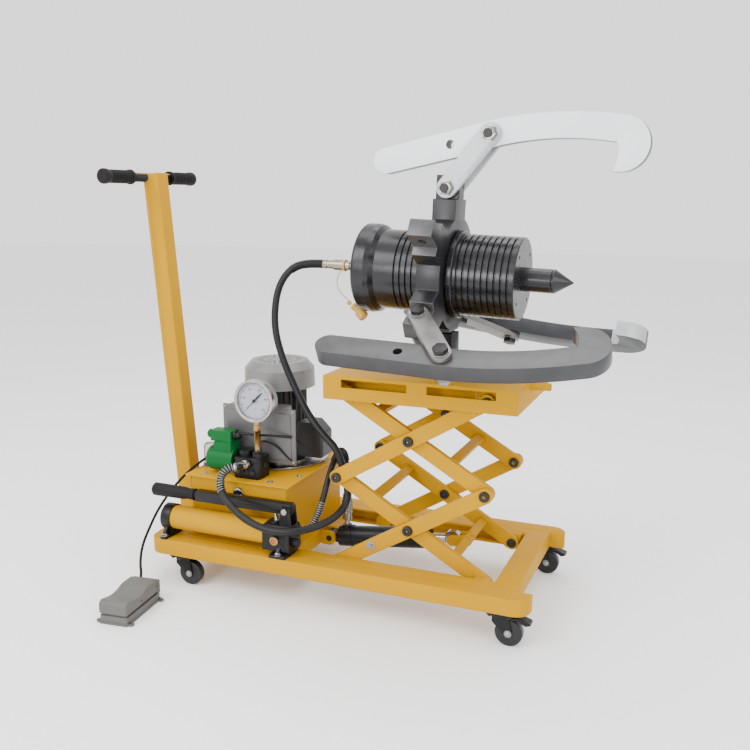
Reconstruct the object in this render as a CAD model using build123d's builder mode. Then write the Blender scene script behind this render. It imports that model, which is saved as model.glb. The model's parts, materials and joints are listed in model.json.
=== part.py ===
"""Trolley-mounted hydraulic three-jaw puller with an electric pump, a hand pump and a scissor lift.

Frame: +Z up, floor at z = 0, +X along the trolley towards the puller's point, -Y towards the
side with the hand pump. The origin is under the middle of the whole object.
"""
import os
from math import atan2, cos, degrees, pi, radians, sin, tan

from build123d import *

os.makedirs("parts", exist_ok=True)

# ---------------------------------------------------------------- driving dimensions (mm)
SIDES = (-1, 1)                     # near side (-Y) and far side (+Y)
FIT = 0.05                          # radial clearance of every running fit
GAP = 0.3                           # air between faces that move past each other

BASE_X = -20.0                      # middle of the base along X
BASE_LENGTH, BASE_WIDTH = 991.0, 474.0
RAIL_LOW, RAIL_HIGH = 79.7, 119.8
RAIL_WIDTH, RAIL_CORNER = 49.0, 38.0
RAIL_INNER = BASE_WIDTH / 2 - RAIL_WIDTH

WHEEL_R, WHEEL_WIDTH, CASTER_TRAIL = 31.5, 22.0, 18.0
CASTER_Y = 208.0
CASTER_X = {"front": BASE_X + 432.0, "rear": BASE_X - 401.0}

LIFT_X, LIFT_Z = BASE_X + 188.3, 100.7   # below the middle of the scissor, at its lowest pins
ARM_HALF, ARM_WIDTH, ARM_THICK = 213.0, 36.0, 14.0
LIFT_ANGLE = radians(30.6)          # slope of the arms as built
INNER_Y, OUTER_Y = 126.5, 141.5     # inboard faces of the inner and the outer arms
PIN_R = 8.0
BAR_HIGH, BAR_WIDE, BAR_CORNER = 22.0, 18.0, 2.0   # cross bars between the near and far inner arms

TABLE_LOW, TABLE_HIGH, TABLE_SHEET = 512.0, 569.5, 4.0
TABLE_X0, TABLE_X1, TABLE_Y = BASE_X - 23.4, BASE_X + 443.0, 165.0

PULLER_X, PULLER_Z = BASE_X + 222.0, 802.0
PULLER_TILT = radians(2.4)          # the puller points a little downwards
BARREL_R, CAP_R, BORE_R, ROD_R = 95.0, 107.0, 62.0, 27.5
YOKE_HALF, HUB_R, LUG_R, TONGUE_R = 28.0, 132.0, 172.0, 226.0
LUG_WIDE, JAW_THICK = 80.0, 40.0
LINK_R, LINK_LENGTH, LINK_WIDE, LINK_THICK = 197.0, 154.0, 47.0, 13.0
JAW_PIN_R = 10.0
ARM_ANGLES = {"top": 90.0, "near": 210.0, "far": 330.0}      # places of the three jaws
LINK_ANGLES = {"top": 37.6, "near": 36.5, "far": 44.0}       # links, from radial towards +X
JAW_ANGLES = {"top": 15.0, "near": 0.8, "far": 17.0}         # jaws, from the puller's axis
FREE_LUG = 150.0                    # spare lug for two-jaw work

TANK_X0, TANK_X1, TANK_Y0, TANK_Y1 = BASE_X - 408.0, BASE_X - 129.0, -160.0, 160.0
DECK_Z, LID_Z, LID_THICK, LID_LAP = 119.8, 275.0, 4.0, 10.0
MOTOR_X, MOTOR_Y, MOTOR_R, MOTOR_TOP = BASE_X - 262.0, 62.0, 72.0, 552.0
COVER_R, COVER_LOW = 95.0, 482.0
BLOCK_X0, BLOCK_X1, BLOCK_Y0, BLOCK_Y1, BLOCK_TOP = BASE_X - 290.0, BASE_X - 214.0, -146.0, -86.0, 346.0
GAUGE_X, GAUGE_Y, GAUGE_Z, GAUGE_R = BASE_X - 226.0, -128.0, 482.0, 54.0

HAND_X0, HAND_X1, HAND_Y, HAND_Z, HAND_R = BASE_X - 436.0, BASE_X - 165.0, -192.0, 168.0, 30.0
LEVER_X, LEVER_Z = BASE_X - 108.0, 233.0

POST_TOP, POST_SIDE = 1030.0, 48.0
POST_FOOT_X, POST_TOP_X = BASE_X - 518.0, BASE_X - 590.0
GRIP_X, GRIP_Z, GRIP_R = BASE_X - 607.5, 1030.0, 17.0

SWITCH_X, SWITCH_Y, SWITCH_TURN = BASE_X - 432.0, -396.0, 6.0
SWITCH_LONG, SWITCH_WIDE = 156.0, 78.0

RAM_X, RAM_Z, RAM_R = BASE_X - 80.0, 100.0, 27.0

HOSE_R, RAM_HOSE_R, CORD_R = 9.0, 7.5, 3.5


# ---------------------------------------------------------------- planes and helpers
def side_plane(y):
    """Plane facing -Y at the given y: local x is X, local y is Z."""
    return Plane(origin=(0, y, 0), x_dir=(1, 0, 0), z_dir=(0, -1, 0))


def cross_plane(x, y=0, z=0):
    """Plane facing +X: local x is Y, local y is Z."""
    return Plane(origin=(x, y, z), x_dir=(0, 1, 0), z_dir=(1, 0, 0))


AXIS = Vector(cos(PULLER_TILT), 0, -sin(PULLER_TILT))
PULLER = Vector(PULLER_X, 0, PULLER_Z)


def radial(angle):
    """Unit vector away from the puller's axis; 0 is +Y, 90 is up, 180 is -Y."""
    up = Vector(sin(PULLER_TILT), 0, cos(PULLER_TILT))
    return Vector(0, 1, 0) * cos(radians(angle)) + up * sin(radians(angle))


def puller_plane(station):
    """Plane across the puller's axis, so far ahead of the yoke's middle."""
    return Plane(origin=PULLER + AXIS * station, x_dir=(0, 1, 0), z_dir=AXIS)


def profile_plane():
    """Plane through the puller's axis: local x is along it, local y is up."""
    return Plane(origin=PULLER, x_dir=AXIS, z_dir=(0, -1, 0))


def arm_plane(angle, origin=PULLER, turn=0.0):
    """Plane of one jaw: local x is along the puller, local y is outwards, turned by turn."""
    out = radial(angle)
    along = AXIS * cos(radians(turn)) + out * sin(radians(turn))
    return Plane(origin=origin, x_dir=along, z_dir=AXIS.cross(out))


def yoke_pin(angle):
    """Point where a link turns on the yoke."""
    return PULLER + radial(angle) * LINK_R


def jaw_pin(name):
    """Point where a jaw turns on its link."""
    angle, swing = ARM_ANGLES[name], radians(LINK_ANGLES[name])
    return yoke_pin(angle) + (AXIS * sin(swing) + radial(angle) * cos(swing)) * LINK_LENGTH


def write(part, name):
    part.label = name
    export_step(part, f"parts/{name}.step")


def block(x0, x1, y0, y1, z0, z1, mode=Mode.ADD):
    """Box between two corners, inside the part that is being built."""
    with BuildSketch(Plane.XY.offset(z0)) as outline:
        with Locations(((x0 + x1) / 2, (y0 + y1) / 2)):
            Rectangle(x1 - x0, y1 - y0)
    extrude(outline.sketch, amount=z1 - z0, mode=mode)


def disc(plane, radius, length, mode=Mode.ADD, hole=0.0):
    """Cylinder or ring that stands on a plane, inside the part that is being built."""
    with BuildSketch(plane) as outline:
        Circle(radius)
        if hole:
            Circle(hole, mode=Mode.SUBTRACT)
    extrude(outline.sketch, amount=length, mode=mode)


def route_radii(points, share=0.45):
    """Arc radius at each inner point of a route, as large as its shorter run allows."""
    radii = []
    for before, here, after in zip(points, points[1:], points[2:]):
        run_in, run_out = Vector(*here) - Vector(*before), Vector(*after) - Vector(*here)
        half_turn = radians(run_in.get_angle(run_out)) / 2
        radii.append(share * min(run_in.length, run_out.length) / tan(half_turn))
    return radii


def flexible(points, radius, name):
    """Round tube along straight runs joined by tangent arcs."""
    radii = route_radii(points)
    with BuildPart() as tube:
        with BuildLine() as path:
            FilletPolyline(*points, radius=radii)
        with BuildSketch(Plane(origin=path.line @ 0, z_dir=path.line % 0)):
            Circle(radius)
        sweep()
    length = sum(edge.length for edge in path.edges())
    print(name, "length", round(length), "volume ratio",
          round(tube.part.volume / (pi * radius ** 2 * length), 4),
          "radii", [round(r) for r in radii])
    write(tube.part, name)


# ---------------------------------------------------------------- base frame
RAIL_EDGE = 1.5                     # broken edges along the rails
with BuildPart() as side_rails:
    for side in SIDES:
        y_mid = side * (RAIL_INNER + RAIL_WIDTH / 2)
        with BuildSketch(Plane.XY.offset(RAIL_LOW)) as rail_outline:
            with Locations((BASE_X, y_mid)):
                Rectangle(BASE_LENGTH, RAIL_WIDTH)
            outer = rail_outline.vertices().sort_by(Axis.Y)
            fillet(outer[:2] if side < 0 else outer[2:], RAIL_CORNER)
        extrude(amount=RAIL_HIGH - RAIL_LOW)
    chamfer(side_rails.edges().filter_by(GeomType.LINE).filter_by(Axis.X), RAIL_EDGE)
write(side_rails.part, "side_rails")

FRONT_BEAM, REAR_BEAM, RAM_BEAM = (402.0, 458.0), (-495.5, -455.0), (-148.0, -108.0)
FOOT_REACH, FOOT_HALF, EAR_THICK, EAR_GAP, DECK_THICK = 48.0, 40.0, 10.0, 13.0, 4.0
EAR_LONG, EAR_HIGH, EAR_LEAD = 50.0, 36.0, 7.0
with BuildPart() as cross_members:
    for start, end in (FRONT_BEAM, REAR_BEAM, RAM_BEAM):
        block(BASE_X + start, BASE_X + end, -RAIL_INNER, RAIL_INNER, RAIL_LOW, RAIL_HIGH)
    block(BASE_X + REAR_BEAM[0] - FOOT_REACH, BASE_X + REAR_BEAM[0], -FOOT_HALF, FOOT_HALF,
          RAIL_LOW, RAIL_HIGH)
    for side in SIDES:
        y0 = side * EAR_GAP + min(side, 0) * EAR_THICK
        with BuildSketch(side_plane(y0 + EAR_THICK)):
            with Locations(((RAM_X + BASE_X + RAM_BEAM[1]) / 2 + EAR_LEAD, RAM_Z)):
                SlotOverall(EAR_LONG, EAR_HIGH)
            with Locations((RAM_X, RAM_Z)):
                Circle(PIN_R + FIT, mode=Mode.SUBTRACT)
        extrude(amount=EAR_THICK)
    block(BASE_X + REAR_BEAM[1], BASE_X + RAM_BEAM[0], -RAIL_INNER, RAIL_INNER,
          DECK_Z - DECK_THICK, DECK_Z)
write(cross_members.part, "deck_and_beams")

# ---------------------------------------------------------------- casters
PLATE_THICK, PLATE_SIDE, CROWN_Z, CROWN_R = 3.0, 56.0, 68.0, 21.0
PLATE_Z = RAIL_LOW - PLATE_THICK
CHEEK_THICK, CHEEK_GAP, AXLE_R, AXLE_OUT, KINGPIN_R, KINGPIN_SINK = 2.5, 1.0, 4.0, 3.0, 6.0, 6.0
CHEEK_HALF, CHEEK_LAP, CHEEK_DROP, TOE_HALF, TOE_DROP = 19.0, 3.0, 12.0, 6.0, 7.0
TREAD_ROUND = 4.0
PEDAL_HALF, PEDAL_HINGE_X, PEDAL_HINGE_Z, PEDAL_BARREL_R = 13.0, 25.5, 66.5, 3.5
with BuildPart() as caster_plates:
    for x in CASTER_X.values():
        for side in SIDES:
            block(x - PLATE_SIDE / 2, x + PLATE_SIDE / 2, side * CASTER_Y - PLATE_SIDE / 2,
                  side * CASTER_Y + PLATE_SIDE / 2, PLATE_Z, RAIL_LOW)
            pin_foot = Plane(origin=(x, side * CASTER_Y, CROWN_Z - KINGPIN_SINK))
            disc(pin_foot, KINGPIN_R, PLATE_Z - CROWN_Z + KINGPIN_SINK)
write(caster_plates.part, "caster_plates")


def caster_fork(x, y):
    """Swivel crown with two cheeks that trail the wheel, and the wheel's axle."""
    cheek_y = WHEEL_WIDTH / 2 + CHEEK_GAP
    axle_half, axle_x = cheek_y + CHEEK_THICK + AXLE_OUT, x + CASTER_TRAIL
    with BuildPart() as fork:
        crown = Plane(origin=(x, y, CROWN_Z))
        disc(crown, CROWN_R, PLATE_Z - CROWN_Z - GAP, hole=KINGPIN_R + FIT)
        for side in SIDES:
            inner = y + side * cheek_y
            with BuildSketch(side_plane(inner + (CHEEK_THICK if side > 0 else 0))):
                with BuildLine():
                    Polyline((x - CHEEK_HALF, CROWN_Z + CHEEK_LAP), (x + CHEEK_HALF, CROWN_Z + CHEEK_LAP),
                             (axle_x + TOE_HALF + CHEEK_LAP, WHEEL_R + 2),
                             (axle_x + TOE_HALF, WHEEL_R - TOE_DROP),
                             (axle_x - TOE_HALF, WHEEL_R - TOE_DROP),
                             (x - CHEEK_HALF, CROWN_Z - CHEEK_DROP), close=True)
                make_face()
            extrude(amount=CHEEK_THICK)
        disc(side_plane(y + axle_half).shift_origin((axle_x, y + axle_half, WHEEL_R)), AXLE_R,
             2 * axle_half)
    return fork.part


def caster_wheel(x, y):
    """Tread and hub of one wheel, with a bore for its axle."""
    with BuildPart() as wheel:
        with BuildSketch(side_plane(0).shift_origin((x, 0, WHEEL_R))) as outline:
            Circle(WHEEL_R)
            Circle(AXLE_R + FIT, mode=Mode.SUBTRACT)
        extrude(amount=WHEEL_WIDTH / 2, both=True)
        rim = wheel.edges().filter_by(GeomType.CIRCLE).sort_by(SortBy.RADIUS)[-2:]
        fillet(rim, TREAD_ROUND)
    return wheel.part.moved(Location((0, y, 0)))


# side view of a brake pedal, from the kingpin's line and the crown's underside
PEDAL_OUTLINE = ((26, 1.5), (40, 3), (66, -5), (68, -9), (56, -13), (40, -3.5), (26, -4))


def brake_pedal(x, y):
    """Foot lever over the wheel of a braked caster, with a round barrel at its hinge."""
    with BuildPart() as pedal:
        with BuildSketch(side_plane(y + PEDAL_HALF)):
            with BuildLine():
                Polyline(*[(x + ahead, CROWN_Z + up) for ahead, up in PEDAL_OUTLINE], close=True)
            make_face()
            with Locations((x + PEDAL_HINGE_X, PEDAL_HINGE_Z)):
                Circle(PEDAL_BARREL_R)
        extrude(amount=2 * PEDAL_HALF)
    return pedal.part


for place, x in CASTER_X.items():
    for side, side_name in zip(SIDES, ("near", "far")):
        write(caster_fork(x, side * CASTER_Y), f"caster_fork_{place}_{side_name}")
        write(caster_wheel(x + CASTER_TRAIL, side * CASTER_Y), f"caster_wheel_{place}_{side_name}")
        if place == "front":
            write(brake_pedal(x, side * CASTER_Y), f"caster_brake_{side_name}")

# ---------------------------------------------------------------- push handle
POST_CORNER, POST_CAP, POST_CUT, BAR_R, BAR_HALF = 5.0, 10.0, 60.0, 12.0, 190.0
lean = atan2(POST_TOP_X - POST_FOOT_X, POST_TOP - RAIL_HIGH)
handle_bar = Plane(origin=(GRIP_X, -BAR_HALF, GRIP_Z), z_dir=(0, 1, 0))
with BuildPart() as push_handle:
    post_length = (POST_TOP - RAIL_HIGH) / cos(lean)
    post_plane = Plane(origin=(POST_FOOT_X, 0, RAIL_HIGH), x_dir=(cos(lean), 0, -sin(lean)),
                       z_dir=(sin(lean), 0, cos(lean)))
    with BuildSketch(post_plane):
        RectangleRounded(POST_SIDE, POST_SIDE, POST_CORNER)
    extrude(amount=post_length + POST_CAP)
    block(POST_FOOT_X - POST_CUT, POST_FOOT_X + POST_CUT, -POST_CUT, POST_CUT,
          RAIL_HIGH - POST_CUT, RAIL_HIGH, mode=Mode.SUBTRACT)
    disc(handle_bar, BAR_R, 2 * BAR_HALF)
write(push_handle.part, "push_handle")

GRIP_INNER, GRIP_END, RIB_PITCH, RIB_COUNT = 82.0, 194.0, 8.5, 10
COLLAR_R, COLLAR_LONG, COLLAR_END, VALLEY_R = GRIP_R + 2, 6.0, 14.0, GRIP_R - 2.5
with BuildPart() as handle_grips:
    for side in SIDES:
        with BuildSketch(Plane(origin=(GRIP_X, 0, GRIP_Z), x_dir=(0, side, 0), z_dir=(1, 0, 0))):
            with BuildLine():
                ribs = [(GRIP_INNER, 0), (GRIP_INNER, COLLAR_R), (GRIP_INNER + COLLAR_LONG, COLLAR_R)]
                for rib in range(RIB_COUNT):
                    start = GRIP_INNER + COLLAR_LONG + 2 + rib * RIB_PITCH
                    ribs += [(start, VALLEY_R), (start + 2.5, VALLEY_R),
                             (start + 4, GRIP_R), (start + RIB_PITCH - 1.5, GRIP_R)]
                ribs += [(GRIP_END - COLLAR_END, COLLAR_R), (GRIP_END - 4, COLLAR_R),
                         (GRIP_END, COLLAR_R - 5), (GRIP_END, 0)]
                Polyline(*ribs, close=True)
            make_face()
        revolve(axis=Axis((GRIP_X, 0, GRIP_Z), (0, 1, 0)))
    disc(handle_bar, BAR_R, 2 * BAR_HALF, mode=Mode.SUBTRACT)
write(handle_grips.part, "handle_grips")

# ---------------------------------------------------------------- scissor lift
run, rise = ARM_HALF * cos(LIFT_ANGLE), ARM_HALF * sin(LIFT_ANGLE)
PINS = {
    "base_slide": (LIFT_X - run, LIFT_Z), "base_pin": (LIFT_X + run, LIFT_Z),
    "lower_middle": (LIFT_X, LIFT_Z + rise),
    "left": (LIFT_X - run, LIFT_Z + 2 * rise), "right": (LIFT_X + run, LIFT_Z + 2 * rise),
    "upper_middle": (LIFT_X, LIFT_Z + 3 * rise),
    "table_slide": (LIFT_X - run, LIFT_Z + 4 * rise), "table_pin": (LIFT_X + run, LIFT_Z + 4 * rise),
}


def between(start, end, share):
    """Point on the line from one pin to another."""
    (x0, z0), (x1, z1) = PINS[start], PINS[end]
    return x0 + (x1 - x0) * share, z0 + (z1 - z0) * share


def y_span(side, inboard, thick):
    """The two y values of a slab whose inboard face is that far from the middle."""
    return sorted((side * inboard, side * (inboard + thick)))


def arm_pair(inboard, start, end, holes, slope):
    """Near and far arm between two pins, inside the part that is being built."""
    for side in SIDES:
        with BuildSketch(side_plane(y_span(side, inboard, ARM_THICK)[1])) as outline:
            with Locations(between(start, end, 0.5)):
                SlotCenterToCenter(2 * ARM_HALF, ARM_WIDTH, rotation=degrees(slope))
            for pin in holes:
                with Locations(PINS[pin]):
                    Circle(PIN_R + FIT, mode=Mode.SUBTRACT)
        extrude(outline.sketch, amount=ARM_THICK)


def cross_bar(at, slope):
    """Square bar that ties the near and the far inner arm."""
    with BuildSketch(side_plane(INNER_Y - SEAM)) as outline:
        with Locations(at):
            RectangleRounded(BAR_HIGH, BAR_WIDE, BAR_CORNER, rotation=degrees(slope))
    extrude(outline.sketch, amount=2 * (INNER_Y - SEAM))


def pin_pair(pin, inboard, outboard, radius=PIN_R):
    """Near and far stud on one pin's line, inside the part that is being built."""
    x, z = PINS[pin]
    for side in SIDES:
        y0, y1 = sorted((side * inboard, side * outboard))
        disc(Plane(origin=(x, y0, z), z_dir=(0, 1, 0)), radius, y1 - y0)


HEAD_R, HEAD_LONG, BUTTON_R = 12.0, 4.0, 14.0
CHANNEL_Y0, CHANNEL_WEB = 158.0, 5.0     # base channels: open side, web
TRACK_Y0, TRACK_WEB = 100.0, 4.0         # table tracks: web's inboard face, web
SEAM = 0.05                              # a cross bar stops this short of its arms
PUSH_SHARE = 0.57                   # place of the pushed cross bar, from middle to base pin
RAM_EAR = 40.0                      # from that bar to the ram's pin
ram_bar = between("lower_middle", "base_pin", PUSH_SHARE)
ram_line = atan2(ram_bar[1] - RAM_Z, ram_bar[0] - RAM_X)
RAM_PIN = (ram_bar[0] - RAM_EAR * cos(ram_line), ram_bar[1] - RAM_EAR * sin(ram_line))
TIE_SHARE = 0.46                    # place of the other lower cross bar, from left pin to middle
EYE_HALF, ROD_EAR, EAR_RIM = 9.0, 8.0, 5.0
ROD_EAR_Y = EYE_HALF + 1            # inboard faces of the two ears that take the ram's rod
with BuildPart() as lower_inner_arms:
    arm_pair(INNER_Y, "left", "base_pin", ("left", "lower_middle", "base_pin"), -LIFT_ANGLE)
    cross_bar(between("left", "lower_middle", TIE_SHARE), -LIFT_ANGLE)
    cross_bar(ram_bar, -LIFT_ANGLE)
    for side in SIDES:
        with BuildSketch(side_plane(y_span(side, ROD_EAR_Y, ROD_EAR)[1])) as ear:
            with Locations(((RAM_PIN[0] + ram_bar[0]) / 2, (RAM_PIN[1] + ram_bar[1]) / 2)):
                SlotCenterToCenter(RAM_EAR, 2 * (PIN_R + EAR_RIM), rotation=degrees(ram_line))
        extrude(ear.sketch, amount=ROD_EAR)
    disc(side_plane(ROD_EAR_Y).shift_origin((RAM_PIN[0], ROD_EAR_Y, RAM_PIN[1])), PIN_R,
         2 * ROD_EAR_Y)
write(lower_inner_arms.part, "lower_inner_arms")

with BuildPart() as upper_outer_arms:
    arm_pair(OUTER_Y, "left", "table_pin", ("left", "upper_middle", "table_pin"), LIFT_ANGLE)
write(upper_outer_arms.part, "upper_outer_arms")

with BuildPart() as upper_inner_arms:
    arm_pair(INNER_Y, "table_slide", "right", ("upper_middle", "right"), -LIFT_ANGLE)
    cross_bar(between("upper_middle", "right", 0.5), -LIFT_ANGLE)
    cross_bar(between("table_slide", "upper_middle", 0.5), -LIFT_ANGLE)
    pin_pair("table_slide", TRACK_Y0 + TRACK_WEB + GAP, INNER_Y, BUTTON_R)
write(upper_inner_arms.part, "upper_inner_arms")

ARM_BACK, ARM_FRONT = INNER_Y - GAP, OUTER_Y + ARM_THICK + GAP


def bolt_pair(pin, back=ARM_BACK, front=ARM_FRONT):
    """Near and far bolt through both arms, with a head outboard and a nut inboard."""
    pin_pair(pin, back, front)
    pin_pair(pin, front, front + HEAD_LONG, HEAD_R)
    pin_pair(pin, back - HEAD_LONG, back, HEAD_R)


with BuildPart() as lower_outer_arms:
    arm_pair(OUTER_Y, "base_slide", "right", ("lower_middle",), LIFT_ANGLE)
    bolt_pair("right", front=OUTER_Y + ARM_THICK)
    pin_pair("base_slide", OUTER_Y + ARM_THICK, RAIL_INNER - CHANNEL_WEB - GAP, BUTTON_R)
write(lower_outer_arms.part, "lower_outer_arms")

with BuildPart() as upper_arm_bolts:
    bolt_pair("upper_middle")
    bolt_pair("left")
write(upper_arm_bolts.part, "upper_arm_bolts")

with BuildPart() as lower_arm_bolts:
    bolt_pair("lower_middle")
write(lower_arm_bolts.part, "lower_arm_bolts")

# C-channels that guide the slide buttons, and the brackets of the fixed pins
CHANNEL_X0, CHANNEL_X1 = BASE_X + RAM_BEAM[1], BASE_X + FRONT_BEAM[0]
BRACKET_HALF = 20.0
with BuildPart() as base_channels:
    for side in SIDES:
        y0, y1 = sorted((side * CHANNEL_Y0, side * RAIL_INNER))
        block(CHANNEL_X0, CHANNEL_X1, y0, y1, RAIL_LOW, RAIL_HIGH)
        slot_y = sorted((side * CHANNEL_Y0, side * (RAIL_INNER - CHANNEL_WEB)))
        block(CHANNEL_X0, PINS["base_pin"][0] - BRACKET_HALF, *slot_y,
              LIFT_Z - BUTTON_R - GAP, LIFT_Z + BUTTON_R + GAP, mode=Mode.SUBTRACT)
        bracket_y = sorted((side * (INNER_Y + ARM_THICK + GAP), side * CHANNEL_Y0))
        block(PINS["base_pin"][0] - BRACKET_HALF, PINS["base_pin"][0] + BRACKET_HALF, *bracket_y,
              RAIL_LOW, RAIL_HIGH)
    pin_pair("base_pin", ARM_BACK, CHANNEL_Y0)
    pin_pair("base_pin", ARM_BACK - HEAD_LONG, ARM_BACK, HEAD_R)
write(base_channels.part, "base_channels")

# ---------------------------------------------------------------- table
SLOT_X = ((BASE_X + 23.0, BASE_X + 186.0), (BASE_X + 234.0, BASE_X + 394.0))
SLOT_LOW, SLOT_HIGH = 542.0, 561.0
TABLE_PIN_Y0 = 120.0
REAR_FLANGE_LOW = 553.0             # the slides' ends run out below the rear flange
STUB_R, STUB_BORE, STUB_LONG, STUB_Y, STUB_Z = 9.0, 6.0, 46.0, -40.0, 556.0
TABLE_EDGE, TRACK_LIP, TRACK_CUT, LUG_HALF = 2.0, 3.5, 40.0, 18.0
ceiling = TABLE_HIGH - TABLE_SHEET
with BuildPart() as table:
    block(TABLE_X0, TABLE_X1, -TABLE_Y, TABLE_Y, TABLE_LOW, TABLE_HIGH)
    chamfer(table.edges().group_by(Axis.Z)[-1], TABLE_EDGE)
    block(TABLE_X0 + TABLE_SHEET, TABLE_X1 - TABLE_SHEET, -TABLE_Y + TABLE_SHEET,
          TABLE_Y - TABLE_SHEET, TABLE_LOW, ceiling, mode=Mode.SUBTRACT)
    block(TABLE_X0, TABLE_X0 + TABLE_SHEET, -TABLE_Y + TABLE_SHEET, TABLE_Y - TABLE_SHEET,
          TABLE_LOW, REAR_FLANGE_LOW, mode=Mode.SUBTRACT)
    for x0, x1 in SLOT_X:
        block(x0, x1, -TABLE_Y - 1, TABLE_Y + 1, SLOT_LOW, SLOT_HIGH, mode=Mode.SUBTRACT)
    disc(cross_plane(TABLE_X1 - TABLE_SHEET, STUB_Y, STUB_Z), STUB_R, STUB_LONG + TABLE_SHEET)
    disc(cross_plane(TABLE_X1 - TABLE_SHEET, STUB_Y, STUB_Z), STUB_BORE, STUB_LONG + TABLE_SHEET,
         mode=Mode.SUBTRACT)
    slide_z = PINS["table_slide"][1]
    track_x1 = PINS["table_pin"][0] - TRACK_CUT
    for side in SIDES:
        web = sorted((side * TRACK_Y0, side * (TRACK_Y0 + TRACK_WEB)))
        lips = sorted((side * TRACK_Y0, side * (INNER_Y - 2)))
        block(TABLE_X0, track_x1, *web, slide_z - BUTTON_R - GAP - TRACK_LIP, ceiling)
        for low in (slide_z - BUTTON_R - GAP - TRACK_LIP, slide_z + BUTTON_R + GAP):
            block(TABLE_X0, track_x1, *lips, low, low + TRACK_LIP)
        lug_y = sorted((side * TABLE_PIN_Y0, side * (OUTER_Y - GAP)))
        x, z = PINS["table_pin"]
        block(x - LUG_HALF, x + LUG_HALF, *lug_y, z - LUG_HALF, ceiling)
    pin_pair("table_pin", TABLE_PIN_Y0, ARM_FRONT)
    pin_pair("table_pin", ARM_FRONT, ARM_FRONT + HEAD_LONG, HEAD_R)
write(table.part, "table")

# ---------------------------------------------------------------- lift ram
RAM_LONG, RAM_BORE, RAM_ROD_R, RAM_CAP = 250.0, 20.0, 12.5, 24.0
RAM_START, EYE_R, EYE_HOLE, BOSS_R, BOSS_LONG = 26.0, 22.0, 13.0, 13.0, 5.0
ram_dir = Vector(cos(ram_line), 0, sin(ram_line))
ram_foot = Vector(RAM_X, 0, RAM_Z)


def ram_plane(station):
    """Plane across the ram's line, so far from its foot pin."""
    return Plane(origin=ram_foot + ram_dir * station, x_dir=(0, 1, 0), z_dir=ram_dir)


COUPLER_STATION = 44.0
TRUNNION_R, SHANK_LONG, SHANK_HALF, CLAMP_STATION, CLAMP_LONG = 16.0, 22.0, 12.0, 34.0, 4.0
trunnion_half, foot_pin_half = EAR_GAP - 1, EAR_GAP + EAR_THICK
coupler_foot = ram_foot + ram_dir * COUPLER_STATION + Vector(0, 0, RAM_R)
with BuildPart() as lift_barrel:
    disc(side_plane(trunnion_half).shift_origin((RAM_X, trunnion_half, RAM_Z)), TRUNNION_R,
         2 * trunnion_half)
    block(RAM_X, RAM_X + SHANK_LONG, -trunnion_half, trunnion_half, RAM_Z - SHANK_HALF,
          RAM_Z + SHANK_HALF)
    disc(side_plane(foot_pin_half).shift_origin((RAM_X, foot_pin_half, RAM_Z)), PIN_R,
         2 * foot_pin_half)
    disc(ram_plane(RAM_START), RAM_R, RAM_LONG)
    disc(Plane(origin=(coupler_foot.X, 0, RAM_Z)), BOSS_R, coupler_foot.Z + BOSS_LONG - RAM_Z)
    disc(ram_plane(RAM_START + CLAMP_STATION), RAM_R + 2, CLAMP_LONG)
    disc(ram_plane(RAM_START + RAM_CAP), RAM_BORE, RAM_LONG - 2 * RAM_CAP, mode=Mode.SUBTRACT)
    disc(ram_plane(RAM_START + RAM_CAP), RAM_ROD_R + FIT, RAM_LONG, mode=Mode.SUBTRACT)
write(lift_barrel.part, "lift_barrel")

ram_reach = (Vector(RAM_PIN[0], 0, RAM_PIN[1]) - ram_foot).length
PISTON_STATION, PISTON_LONG = 150.0, 24.0
with BuildPart() as lift_rod:
    disc(ram_plane(PISTON_STATION), RAM_BORE - FIT, PISTON_LONG)
    disc(ram_plane(PISTON_STATION), RAM_ROD_R, ram_reach - EYE_R + 4 - PISTON_STATION)
    disc(side_plane(EYE_HALF).shift_origin((RAM_PIN[0], EYE_HALF, RAM_PIN[1])), EYE_R, 2 * EYE_HALF)
    disc(side_plane(EYE_HALF).shift_origin((RAM_PIN[0], EYE_HALF, RAM_PIN[1])), EYE_HOLE,
         2 * EYE_HALF, mode=Mode.SUBTRACT)
write(lift_rod.part, "lift_rod")

# Quick coupler that stands on the ram's port
COUPLER_STEPS = ((7.0, 16.0), (13.0, 20.0), (11.0, 8.0), (14.0, 26.0), (12.0, 14.0), (9.0, 28.0))
with BuildPart() as ram_coupler:
    height = coupler_foot.Z + BOSS_LONG
    for step_r, step_long in COUPLER_STEPS:
        disc(Plane(origin=(coupler_foot.X, 0, height)), step_r, step_long)
        height += step_long
write(ram_coupler.part, "ram_coupler")

# ---------------------------------------------------------------- puller cylinder
REAR, FRONT, END_CAP = -203.0, 186.0, 20.0
GROOVE_HALF, GROOVE_DEEP = 2.6, 4.0
REAR_GROOVES = [-38 - 14.5 * step for step in range(4, -1, -1)]
FRONT_GROOVES = [54 + 14.6 * step for step in range(9)]
GLAND = 34.0
SPANNER_HOLES, SPANNER_RING, SPANNER_R, SPANNER_DEEP, SPANNER_TURN = 4, 74.0, 4.5, 12.0, 45.0
CAP_STATION, CAP_WAIST, BARREL_START, BARREL_EDGE, FLOOR_THICK = -170.0, -158.0, -148.0, 2.0, 8.0


def groove(station):
    """Points of one round-bottomed ring groove in the barrel's outline."""
    return [(station - GROOVE_HALF, BARREL_R), (station - 0.8, BARREL_R - GROOVE_DEEP),
            (station + 0.8, BARREL_R - GROOVE_DEEP), (station + GROOVE_HALF, BARREL_R)]


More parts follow.
